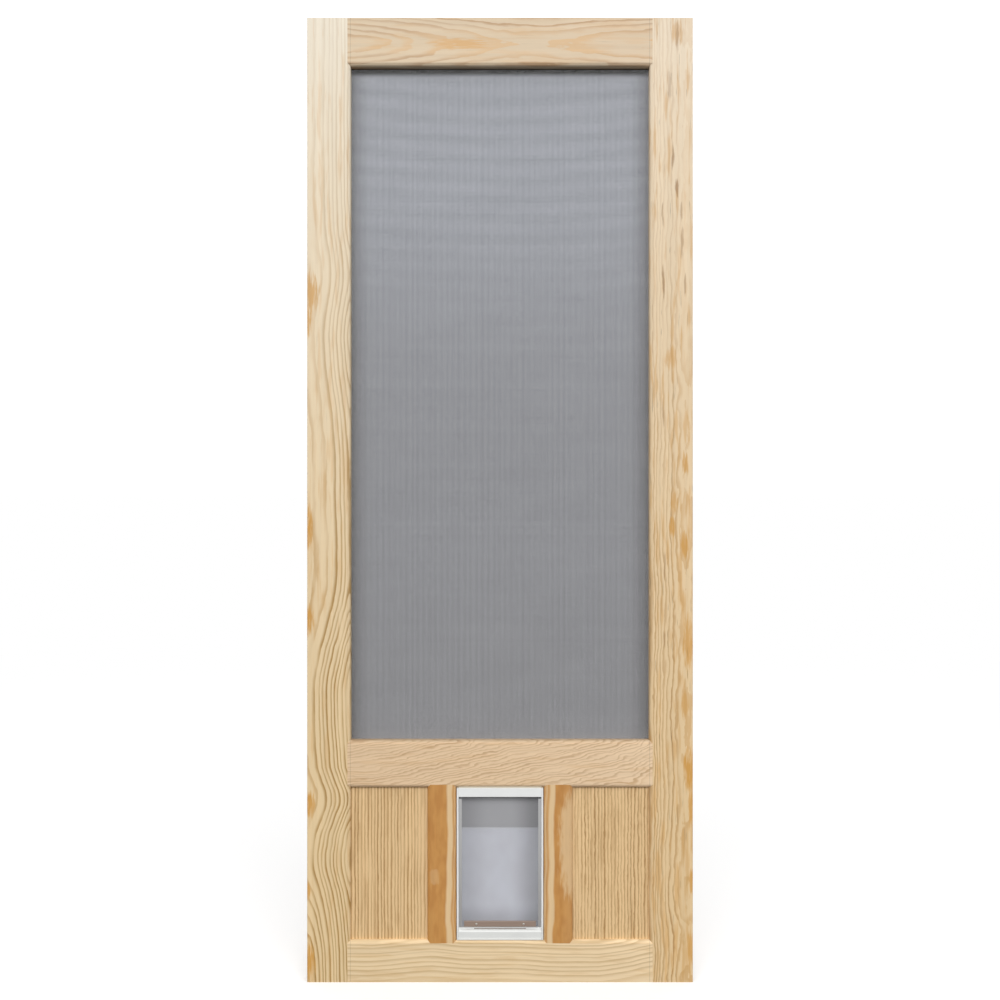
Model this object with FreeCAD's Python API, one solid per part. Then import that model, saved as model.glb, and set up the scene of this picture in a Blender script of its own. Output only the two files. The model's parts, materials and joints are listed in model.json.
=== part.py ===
import FreeCAD, Part
import math
import os

from FreeCAD import Vector

# Wooden screen door leaf with a pet flap. All sizes are millimetres: x runs across from the hinge
# edge, y from the front face to the back face, z up from the bottom edge.

# The leaf as a whole.
door_width = 812.8
door_height = 2032.0
door_thickness = 28.6

# Frame members, measured across to the lips of their moulded edges.
stile_width = 91.0
top_rail_width = 101.0
middle_rail_width = 99.0
bottom_rail_width = 88.0
mullion_width = 61.0
panel_opening_height = 322.0
pet_opening_width = 184.0

# Moulded edge round every opening: a square step, a narrow flat and a rounded fall to the lip.
quirk_depth = 1.0
quirk_flat = 1.0
ovolo_width = 5.0
ovolo_depth = 5.0
ovolo_crown = 1.0
outer_arris_radius = 1.5

# Flat panels, and the groove that takes them, the stub tenons and the fins of the pet frame.
panel_thickness = 9.5
panel_swelling_gap = 1.5
groove_depth = 9.5

# Insect screen in a rebate at the back, under mitred beads. A coarse grid stands for its mesh.
rebate_width = 10.0
rebate_depth = 8.0
screen_thickness = 0.5
screen_edge_gap = 1.0
screen_cells_across = 12
screen_strand_width = 26.0
bead_thickness = 7.0
bead_nose_radius = 4.0
bead_edge_gap = 0.3
bead_sight_gap = 0.2

# Pet frame: jambs from rail to rail, with the head and the sill between them.
frame_recess = 2.0
frame_head_gap = 0.3
jamb_thickness = 4.0
jamb_side_gap = 0.8
jamb_edge_radius = 1.0
fin_end_gap = 1.0
head_drop = 20.0
head_band_height = 18.0
head_lip_setback = 1.0
head_lip_rise = 5.0
head_wall = 3.0
head_channel_depth = 8.0
sill_height = 20.0
sill_toe_height = 3.0
sill_toe_reach = 1.0
sill_edge_radius = 4.0
magnet_length = 110.0
magnet_width = 6.0
magnet_thickness = 2.0

# Pet flap: a sheet hemmed round a rod that turns in the jambs, with a strip along its lower edge.
rod_diameter = 4.0
rod_running_clearance = 0.05
rod_drop = 5.2
rod_bore_depth = 3.4
rod_end_gap = 0.3
flap_thickness = 2.0
flap_side_gap = 6.2
flap_sill_gap = 5.0
hem_wall = 1.5
hem_depth = 63.0
strip_end_inset = 5.0
strip_height = 12.0
strip_thickness = 3.0
strip_edge_radius = 1.0

# Places that follow from those sizes.
half_thickness = door_thickness / 2
moulding_width = quirk_flat + ovolo_width
middle_x = door_width / 2
bottom_lip_z = bottom_rail_width
middle_low_lip_z = bottom_lip_z + panel_opening_height
middle_high_lip_z = middle_low_lip_z + middle_rail_width
top_lip_z = door_height - top_rail_width
pet_lip_x = middle_x - pet_opening_width / 2
mullion_outer_x = pet_lip_x - mullion_width
groove_half = panel_thickness / 2
stile_groove_x = stile_width - groove_depth
bottom_groove_z = bottom_lip_z - groove_depth
middle_groove_z = middle_low_lip_z + groove_depth
screen_seat_y = half_thickness - rebate_depth
frame_half_depth = half_thickness - frame_recess
jamb_outer_x = pet_lip_x + jamb_side_gap
jamb_inner_x = jamb_outer_x + jamb_thickness
fin_reach = groove_depth - fin_end_gap
frame_top_z = middle_low_lip_z - frame_head_gap
head_bottom_z = middle_low_lip_z - head_drop
sill_top_z = bottom_lip_z + sill_height
rod_z = head_bottom_z - rod_drop
rod_radius = rod_diameter / 2
rod_bore_radius = rod_radius + rod_running_clearance
flap_left_x = jamb_inner_x + flap_side_gap
flap_width = 2 * (middle_x - flap_left_x)
flap_bottom_z = sill_top_z + flap_sill_gap


def block(low, high):
    """Box between two opposite corners."""
    size = [b - a for a, b in zip(low, high)]
    return Part.makeBox(*size, Vector(*low))


def only_solid(shape):
    """The single solid that a cut or a union leaves, with its split faces merged."""
    solids = shape.removeSplitter().Solids
    if len(solids) != 1:
        raise ValueError(f"one solid expected, {len(solids)} found")
    return solids[0]


def mirrored(shape):
    """The same piece on the other side of the leaf's middle."""
    return shape.mirror(Vector(middle_x, 0, 0), Vector(1, 0, 0))


def outline_face(runs, place):
    """Face inside a closed outline of straight runs (2 points) and arcs (3 points)."""
    edges = []
    for run in runs:
        points = [place(*point) for point in run]
        curve = Part.Arc(*points) if len(points) == 3 else Part.LineSegment(*points)
        edges.append(curve.toShape())
    return Part.Face(Part.Wire(edges))


def joined(points):
    """Straight runs from each point to the next."""
    return list(zip(points, points[1:]))


def turned_round(runs):
    """The same runs walked from their far end."""
    return [tuple(reversed(run)) for run in reversed(runs)]


def moulded_side(lip, toward):
    """Edge of a member from its front face to its back face, with the moulding on both faces.

    lip is where the edge stands, and toward is +1 or -1 for the side that the opening is on."""
    face_edge = lip - toward * moulding_width
    fall_start = lip - toward * ovolo_width
    flat_y = half_thickness - quirk_depth
    lip_y = flat_y - ovolo_depth
    chord = math.hypot(ovolo_width, ovolo_depth)
    crown_u = (fall_start + lip) / 2 + toward * ovolo_crown * ovolo_depth / chord
    crown_y = (flat_y + lip_y) / 2 + ovolo_crown * ovolo_width / chord
    step = [(face_edge, half_thickness), (face_edge, flat_y), (fall_start, flat_y)]
    back = [((lip, lip_y), (crown_u, crown_y), (fall_start, flat_y))]
    back += turned_round(joined(step))
    front = [tuple((u, -y) for u, y in run) for run in turned_round(back)]
    return front + [((lip, -lip_y), (lip, lip_y))] + back


def square_side(edge):
    """Plain square edge of a member, from its front face to its back face."""
    return [((edge, -half_thickness), (edge, half_thickness))]


def eased_side(edge):
    """Edge with both arrises rounded off, from its front face to its back face."""
    radius = outer_arris_radius
    bulge = radius * (1 - math.sqrt(0.5))
    shoulder = half_thickness - radius
    front = ((edge + radius, -half_thickness), (edge + bulge, bulge - half_thickness), (edge, -shoulder))
    back = ((edge, shoulder), (edge + bulge, half_thickness - bulge), (edge + radius, half_thickness))
    return [front, ((edge, -shoulder), (edge, shoulder)), back]


def member_outline(low_side, high_side):
    """Closed section of a frame member between its two edges."""
    across_back = (high_side[-1][-1], low_side[-1][-1])
    across_front = (low_side[0][0], high_side[0][0])
    return high_side + [across_back] + turned_round(low_side) + [across_front]


def upright(low_side, high_side, low_z, high_z):
    """Frame member that stands: its section lies across x and y."""
    face = outline_face(member_outline(low_side, high_side), lambda u, y: Vector(u, y, low_z))
    return face.extrude(Vector(0, 0, high_z - low_z))


def level(low_side, high_side, low_x, high_x):
    """Frame member that lies level: its section lies across z and y."""
    face = outline_face(member_outline(low_side, high_side), lambda u, y: Vector(low_x, y, u))
    return face.extrude(Vector(high_x - low_x, 0, 0))


def groove(low_x, high_x, low_z, high_z):
    """Cutter for a stretch of the panel groove."""
    return block((low_x, -groove_half, low_z), (high_x, groove_half, high_z))


def screen_rebate():
    """Cutter for the rebate round the back of the screen opening."""
    low = (stile_width - rebate_width, screen_seat_y, middle_high_lip_z - rebate_width)
    high = (door_width - low[0], half_thickness, top_lip_z + rebate_width)
    return block(low, high)


def hinge_stile():
    """Full-height stile, grooved beside the rails and the panel, rebated beside the screen."""
    board = upright(eased_side(0), moulded_side(stile_width, 1), 0, door_height)
    lower = groove(stile_groove_x, stile_width, 0, middle_high_lip_z - rebate_width)
    upper = groove(stile_groove_x, stile_width, top_lip_z + rebate_width, door_height)
    return only_solid(board.cut([lower, upper, screen_rebate()]))


def rail(low_side, high_side, cutters, stiles):
    """Rail whose ends are coped over the stiles' moulding, with stub tenons in their grooves."""
    board = level(low_side, high_side, stile_groove_x, door_width - stile_groove_x)
    return only_solid(board.cut(cutters + stiles))


def rail_groove(low_z, high_z):
    """Cutter for a groove along the whole of a rail."""
    return groove(0, door_width, low_z, high_z)


def left_mullion(rails):
    """Short post beside the pet opening, grooved on both edges and coped over the rails."""
    outer_floor = mullion_outer_x + groove_depth
    inner_floor = pet_lip_x - groove_depth
    sides = moulded_side(mullion_outer_x, -1), moulded_side(pet_lip_x, 1)
    board = upright(*sides, bottom_groove_z, middle_groove_z)
    cutters = [
        groove(mullion_outer_x, outer_floor, bottom_groove_z, middle_groove_z),
        groove(inner_floor, pet_lip_x, bottom_groove_z, middle_groove_z),
    ]
    return only_solid(board.cut(cutters + rails))


def left_panel():
    """Flat panel that stands on the floor of the bottom groove, with room to swell elsewhere."""
    low_x = stile_groove_x + panel_swelling_gap
    high_x = mullion_outer_x + groove_depth - panel_swelling_gap
    high_z = middle_groove_z - panel_swelling_gap
    return groove(low_x, high_x, bottom_groove_z, high_z)


def screen_rectangle(low_x, low_z, high_x, high_z):
    """Closed outline on the floor of the rebate, seen from the front."""
    corners = [(low_x, low_z), (high_x, low_z), (high_x, high_z), (low_x, high_z), (low_x, low_z)]
    return Part.makePolygon([Vector(x, screen_seat_y, z) for x, z in corners])


def insect_screen():
    """Screen cloth stretched over the floor of the rebate, with its mesh as a grid of square cells."""
    reach = rebate_width - screen_edge_gap
    edge_x = stile_width - reach
    edge_z = middle_high_lip_z - reach
    outlines = [screen_rectangle(edge_x, edge_z, door_width - edge_x, top_lip_z + reach)]
    sight_height = top_lip_z - middle_high_lip_z
    cell_width = (door_width - 2 * stile_width) / screen_cells_across
    cells_up = round(sight_height / cell_width)
    cell_height = sight_height / cells_up
    half_strand = screen_strand_width / 2
    for column in range(screen_cells_across):
        low_x = stile_width + column * cell_width + half_strand
        high_x = low_x + cell_width - screen_strand_width
        for row in range(cells_up):
            low_z = middle_high_lip_z + row * cell_height + half_strand
            high_z = low_z + cell_height - screen_strand_width
            outlines.append(screen_rectangle(low_x, low_z, high_x, high_z))
    face = Part.makeFace(outlines, "Part::FaceMakerBullseye")
    return only_solid(face.extrude(Vector(0, screen_thickness, 0)))


def bead_outline(sight_edge, toward):
    """Section of a bead: a flat strip with its inner back edge rounded over."""
    seat = screen_seat_y + screen_thickness
    back = seat + bead_thickness
    wall_edge = sight_edge - toward * (rebate_width - bead_edge_gap - bead_sight_gap)
    nose_start = sight_edge - toward * bead_nose_radius
    bulge = bead_nose_radius * (1 - math.sqrt(0.5))
    straight = [(nose_start, back), (wall_edge, back), (wall_edge, seat), (sight_edge, seat)]
    straight.append((sight_edge, back - bead_nose_radius))
    nose = ((sight_edge, back - bead_nose_radius), (sight_edge - toward * bulge, back - bulge), straight[0])
    return joined(straight) + [nose]


def mitred_beads():
    """The four beads round the screen, cut to each other at 45 degrees."""
    reach = rebate_width - bead_edge_gap
    low_x = stile_width - reach
    high_x = door_width - low_x
    low_z = middle_high_lip_z - reach
    high_z = top_lip_z + reach
    sight_x = stile_width - bead_sight_gap
    height = high_z - low_z
    width = high_x - low_x
    lean = width / 2
    low_corner = Vector(low_x, 0, low_z)
    high_corner = Vector(low_x, 0, high_z)
    standing = outline_face(bead_outline(sight_x, 1), lambda u, y: Vector(u, y, low_z))
    low_apex = low_corner + Vector(lean, 0, lean)
    high_apex = high_corner + Vector(lean, 0, -lean)
    side_prism = mitre_prism([low_corner, low_apex, high_apex, high_corner])
    left = standing.extrude(Vector(0, 0, height)).common(side_prism)
    beads = {"screen_bead_left": left, "screen_bead_right": mirrored(left)}
    for name, lip, toward, corner in (
        ("screen_bead_bottom", middle_high_lip_z, 1, low_corner),
        ("screen_bead_top", top_lip_z, -1, high_corner),
    ):
        section = bead_outline(lip - toward * bead_sight_gap, toward)
        strip = outline_face(section, lambda u, y: Vector(low_x, y, u)).extrude(Vector(width, 0, 0))
        apex = corner + Vector(lean, 0, toward * lean)
        far_corner = corner + Vector(width, 0, 0)
        beads[name] = strip.common(mitre_prism([corner, far_corner, apex]))
    return {name: only_solid(shape) for name, shape in beads.items()}


def mitre_prism(points):
    """Block through the whole thickness of the leaf, with the given outline seen from the front."""
    outline = Part.makePolygon(points + points[:1])
    outline.translate(Vector(0, -door_thickness, 0))
    return Part.Face(outline).extrude(Vector(0, 2 * door_thickness, 0))


def left_jamb():
    """Jamb of the pet frame, with a fin in the mullion's groove and a bore for the rod."""
    low = (jamb_outer_x, -frame_half_depth, bottom_lip_z)
    high = (jamb_inner_x, frame_half_depth, frame_top_z)
    web = block(low, high)
    arrises = [edge for edge in web.Edges if edge.tangentAt(edge.FirstParameter).z]
    web = web.makeFillet(jamb_edge_radius, arrises)
    fin = groove(pet_lip_x - fin_reach, jamb_outer_x + jamb_thickness / 2, bottom_lip_z, frame_top_z)
    bore_start = Vector(jamb_inner_x - rod_bore_depth, 0, rod_z)
    bore = Part.makeCylinder(rod_bore_radius, rod_bore_depth, bore_start, Vector(1, 0, 0))
    return only_solid(web.fuse(fin).cut(bore))


def frame_bar(half_outline):
    """Bar between the jambs, from the front half of its section: points of depth and height."""
    front = [(-depth, z) for depth, z in half_outline]
    back = [(depth, z) for depth, z in reversed(half_outline)]
    runs = joined(front + back + front[:1])
    runs = [run for run in runs if run[0] != run[1]]
    face = outline_face(runs, lambda y, z: Vector(jamb_inner_x, y, z))
    return face.extrude(Vector(2 * (middle_x - jamb_inner_x), 0, 0))


def pet_head(rail_above):
    """Head of the pet frame: a channel with a raised band, a lip on the moulding and a fin above."""
    lip_depth = frame_half_depth - head_lip_setback
    band_top_z = head_bottom_z + head_band_height
    channel_top_z = head_bottom_z + head_channel_depth
    channel_half = frame_half_depth - head_wall
    half_outline = [
        (channel_half, channel_top_z),
        (channel_half, head_bottom_z),
        (frame_half_depth, head_bottom_z),
        (frame_half_depth, band_top_z),
        (lip_depth, band_top_z),
        (lip_depth, middle_low_lip_z + head_lip_rise),
        (half_thickness - quirk_depth - ovolo_depth, middle_low_lip_z + head_lip_rise),
        (half_thickness - quirk_depth - ovolo_depth, frame_top_z),
        (groove_half, frame_top_z),
        (groove_half, middle_low_lip_z + fin_reach),
    ]
    return only_solid(frame_bar(half_outline).cut(rail_above))


def pet_sill():
    """Sill of the pet frame: a toe, rounded upper edges, a fin below and a seat for the magnet."""
    face_depth = frame_half_depth - sill_toe_reach
    toe_top_z = bottom_lip_z + sill_toe_height
    half_outline = [
        (groove_half, bottom_lip_z - fin_reach),
        (groove_half, bottom_lip_z),
        (frame_half_depth, bottom_lip_z),
        (frame_half_depth, toe_top_z),
        (face_depth, toe_top_z),
        (face_depth, sill_top_z),
    ]
    bar = frame_bar(half_outline)
    shoulders = []
    for edge in bar.Edges:
        middle = edge.CenterOfMass
        if abs(middle.z - sill_top_z) < 1e-6 and abs(abs(middle.y) - face_depth) < 1e-6:
            shoulders.append(edge)
    return only_solid(bar.makeFillet(sill_edge_radius, shoulders).cut(sill_magnet()))


def sill_magnet():
    """Magnet let into the top of the sill under the flap."""
    low = (middle_x - magnet_length / 2, -magnet_width / 2, sill_top_z - magnet_thickness)
    high = (middle_x + magnet_length / 2, magnet_width / 2, sill_top_z)
    return block(low, high)


def flap_sheet():
    """Sheet of the flap: a loop round the rod, a doubled hem and a single layer below it."""
    high_x = flap_left_x + flap_width
    along = Vector(1, 0, 0)
    start = Vector(flap_left_x, 0, rod_z)
    loop = Part.makeCylinder(rod_radius + hem_wall, flap_width, start, along)
    hem = block((flap_left_x, -hem_wall, rod_z - hem_depth), (high_x, hem_wall, rod_z))
    layer = block((flap_left_x, -flap_thickness / 2, flap_bottom_z), (high_x, flap_thickness / 2, rod_z))
    bore = Part.makeCylinder(rod_bore_radius, flap_width, start, along)
    return only_solid(loop.fuse([hem, layer]).cut(bore))


def flap_rod():
    """Rod through the hem, with its ends in the bores of the jambs."""
    low_x = jamb_inner_x - rod_bore_depth + rod_end_gap
    length = 2 * (middle_x - low_x)
    return Part.makeCylinder(rod_radius, length, Vector(low_x, 0, rod_z), Vector(1, 0, 0))


def flap_strip(side):
    """Round-edged strip riveted along the flap's lower edge, on the front (-1) or the back (+1)."""
    inner_y = side * flap_thickness / 2
    outer_y = inner_y + side * strip_thickness
    low = (flap_left_x + strip_end_inset, min(inner_y, outer_y), flap_bottom_z)
    high_x = flap_left_x + flap_width - strip_end_inset
    bar = block(low, (high_x, max(inner_y, outer_y), flap_bottom_z + strip_height))
    arrises = [edge for edge in bar.Edges if abs(edge.CenterOfMass.y - outer_y) < 1e-6]
    return only_solid(bar.makeFillet(strip_edge_radius, arrises))


def leaf():
    """Every piece of the door by name."""
    rebate = screen_rebate()
    left_stile = hinge_stile()
    stiles = [left_stile, mirrored(left_stile)]
    bottom = rail(
        square_side(0),
        moulded_side(bottom_lip_z, 1),
        [rail_groove(bottom_groove_z, bottom_lip_z)],
        stiles,
    )
    middle = rail(
        moulded_side(middle_low_lip_z, -1),
        moulded_side(middle_high_lip_z, 1),
        [rail_groove(middle_low_lip_z, middle_groove_z), rebate],
        stiles,
    )
    top = rail(moulded_side(top_lip_z, -1), square_side(door_height), [rebate], stiles)
    mullion = left_mullion([bottom, middle])
    pieces = {
        "hinge_stile": stiles[0],
        "latch_stile": stiles[1],
        "top_rail": top,
        "middle_rail": middle,
        "bottom_rail": bottom,
        "left_mullion": mullion,
        "right_mullion": mirrored(mullion),
        "left_panel": left_panel(),
        "right_panel": mirrored(left_panel()),
        "insect_screen": insect_screen(),
        "pet_frame_left_jamb": left_jamb(),
        "pet_frame_right_jamb": mirrored(left_jamb()),
        "pet_frame_head": pet_head(middle),
        "pet_frame_sill": pet_sill(),
        "sill_magnet": sill_magnet(),
        "flap_sheet": flap_sheet(),
        "flap_rod": flap_rod(),
        "flap_strip_front": flap_strip(-1),
        "flap_strip_back": flap_strip(1),
    }
    return pieces | mitred_beads()


os.makedirs("parts", exist_ok=True)
for name, shape in leaf().items():
    shape.exportStep(f"parts/{name}.step")
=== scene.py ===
"""Dresses the solids of a wooden screen door with a pet flap for a plain studio picture.

Lengths are in metres, in the frame of the solids: x runs from the hinge edge, y from front to back, z up.
"""

import json
import logging
import math
from dataclasses import dataclass, replace
from enum import Enum
from typing import ClassVar, Mapping, Optional, Sequence, Union

import bpy
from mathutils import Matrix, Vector

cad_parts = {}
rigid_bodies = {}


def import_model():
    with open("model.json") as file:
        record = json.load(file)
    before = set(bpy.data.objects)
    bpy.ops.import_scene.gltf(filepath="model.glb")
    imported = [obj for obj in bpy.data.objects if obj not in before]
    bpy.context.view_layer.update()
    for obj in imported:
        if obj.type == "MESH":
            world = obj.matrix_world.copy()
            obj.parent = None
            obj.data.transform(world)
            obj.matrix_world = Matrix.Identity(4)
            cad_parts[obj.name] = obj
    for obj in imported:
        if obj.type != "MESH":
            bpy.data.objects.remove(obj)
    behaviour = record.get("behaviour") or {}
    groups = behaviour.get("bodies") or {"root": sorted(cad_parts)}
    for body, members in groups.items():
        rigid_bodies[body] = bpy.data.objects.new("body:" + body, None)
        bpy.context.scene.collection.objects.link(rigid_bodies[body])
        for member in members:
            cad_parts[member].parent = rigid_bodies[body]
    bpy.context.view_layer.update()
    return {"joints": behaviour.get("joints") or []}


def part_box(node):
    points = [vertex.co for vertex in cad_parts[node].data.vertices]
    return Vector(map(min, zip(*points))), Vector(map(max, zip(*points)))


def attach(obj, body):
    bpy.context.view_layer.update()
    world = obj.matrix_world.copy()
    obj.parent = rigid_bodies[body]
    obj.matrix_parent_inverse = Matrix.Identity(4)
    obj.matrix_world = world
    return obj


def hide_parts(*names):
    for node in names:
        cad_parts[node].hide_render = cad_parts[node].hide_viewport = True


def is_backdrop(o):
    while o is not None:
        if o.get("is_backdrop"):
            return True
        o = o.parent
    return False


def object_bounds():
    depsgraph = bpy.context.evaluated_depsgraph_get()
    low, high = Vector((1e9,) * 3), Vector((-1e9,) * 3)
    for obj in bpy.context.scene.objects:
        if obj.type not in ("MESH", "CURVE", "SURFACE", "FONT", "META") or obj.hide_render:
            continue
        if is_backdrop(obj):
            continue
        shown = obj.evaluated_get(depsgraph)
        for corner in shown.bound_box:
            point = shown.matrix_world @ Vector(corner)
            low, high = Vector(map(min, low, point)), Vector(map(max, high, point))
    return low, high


LOG = logging.getLogger("screen_door")
MM = 0.001
PICTURE_PIXELS = 1000
CLOUD_MEAN = 0.5
STUD_SEGMENTS = 14
STUD_RINGS = 8
DOOR = "door"
FLAP = "flap"

Colour = tuple[float, float, float, float]
Pair = tuple[float, float]
Size = tuple[float, float, float]
Curve = tuple[Pair, ...]
Number = Union["Field", float]
Given = Union["Field", float, int, bool, str, Sequence[float], bpy.types.ID]
Spot = tuple["Field", "Field", "Field"]
LEVEL_LINE: Curve = ((0.0, 0.0), (1.0, 0.0))


def paint(red: int, green: int, blue: int) -> Colour:
    """Turns a colour in screen values into the renderer's linear values.

    Args:
        red: Red from 0 to 255.
        green: Green from 0 to 255.
        blue: Blue from 0 to 255.

    Returns:
        The colour in linear values, with full cover.
    """
    parts = [value / 255 for value in (red, green, blue)]
    linear = [part / 12.92 if part <= 0.04045 else ((part + 0.055) / 1.055) ** 2.4 for part in parts]
    return (linear[0], linear[1], linear[2], 1.0)


def grey(value: float) -> Colour:
    """Makes a grey out of one linear value."""
    return (value, value, value, 1.0)


def stand(name: str, data: bpy.types.ID) -> bpy.types.Object:
    """Makes an object out of a mesh, a lamp or a camera and puts it in the scene.

    Args:
        name: The object's name.
        data: What it shows.

    Returns:
        The object.
    """
    made = bpy.data.objects.new(name, data)
    bpy.context.scene.collection.objects.link(made)
    return made


class Grain(Enum):
    """Which way a board's grain runs on the door."""

    UPRIGHT = "Z"
    LEVEL = "X"


class Field:
    """One output of a node, which sums can be done on as on a number."""

    def __init__(self, bench: "NodeBench", socket: bpy.types.NodeSocket) -> None:
        """Keeps the socket and the bench that it belongs to."""
        self.bench = bench
        self.socket = socket

    def __add__(self, other: Number) -> "Field":
        """This value plus another."""
        return self.bench.math("ADD", self, other)

    def __radd__(self, other: Number) -> "Field":
        """Another value plus this one."""
        return self.bench.math("ADD", other, self)

    def __sub__(self, other: Number) -> "Field":
        """This value less another."""
        return self.bench.math("SUBTRACT", self, other)

    def __rsub__(self, other: Number) -> "Field":
        """Another value less this one."""
        return self.bench.math("SUBTRACT", other, self)

    def __mul__(self, other: Number) -> "Field":
        """This value times another."""
        return self.bench.math("MULTIPLY", self, other)

    def __rmul__(self, other: Number) -> "Field":
        """Another value times this one."""
        return self.bench.math("MULTIPLY", other, self)

    def __truediv__(self, other: Number) -> "Field":
        """This value divided by another."""
        return self.bench.math("DIVIDE", self, other)

    def __rtruediv__(self, other: Number) -> "Field":
        """Another value divided by this one."""
        return self.bench.math("DIVIDE", other, self)

    def __abs__(self) -> "Field":
        """This value without its sign."""
        return self.bench.math("ABSOLUTE", self)


class NodeBench:
    """A node tree and the one way of adding nodes to it."""

    def __init__(self, tree: bpy.types.NodeTree) -> None:
        """Starts from an empty tree."""
        self.tree = tree
        tree.nodes.clear()

    def node(
        self,
        kind: str,
        settings: Optional[Mapping[str, object]] = None,
        sockets: Optional[Mapping[Union[str, int], Given]] = None,
    ) -> bpy.types.Node:
        """Adds a node, sets it and then fills its sockets.

        Args:
            kind: Blender's name for the type of node.
            settings: The node's own settings; "stops" fills a colour ramp.
            sockets: A value or a field for each input named or numbered.

        Returns:
            The new node.
        """
        made = self.tree.nodes.new(kind)
        for name, value in (settings or {}).items():
            if name == "stops":
                self.fill_ramp(made.color_ramp, value)
            else:
                setattr(made, name, value)
        for key, value in (sockets or {}).items():
            if isinstance(value, Field):
                self.tree.links.new(value.socket, made.inputs[key])
            else:
                made.inputs[key].default_value = value
        return made

    @staticmethod
    def fill_ramp(ramp: bpy.types.ColorRamp, stops: Sequence[tuple[float, Colour]]) -> None:
        """Puts smooth stops on a colour ramp.

        Args:
            ramp: The ramp, which comes with two stops.
            stops: Each stop's place from 0 to 1 and its colour, in order.
        """
        ramp.interpolation = "CARDINAL"
        while len(ramp.elements) < len(stops):
            ramp.elements.new(1.0)
        for element, (place, colour) in zip(ramp.elements, stops):
            element.position = place
            element.color = colour

    def field(
        self,
        kind: str,
        settings: Optional[Mapping[str, object]] = None,
        sockets: Optional[Mapping[Union[str, int], Given]] = None,
        output: Union[str, int] = 0,
    ) -> Field:
        """Adds a node and takes one of its outputs.

        Args:
            kind: Blender's name for the type of node.
            settings: The node's own settings.
            sockets: A value or a field for each input named or numbered.
            output: The name or number of the output.

        Returns:
            The output as a field.
        """
        return Field(self, self.node(kind, settings, sockets).outputs[output])

    def math(self, operation: str, *values: Number) -> Field:
        """Adds one step of arithmetic.

        Args:
            operation: Blender's name for the operation.
            values: The numbers or fields that it works on.

        Returns:
            The result.
        """
        return self.field("ShaderNodeMath", {"operation": operation}, dict(enumerate(values)))


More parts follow.
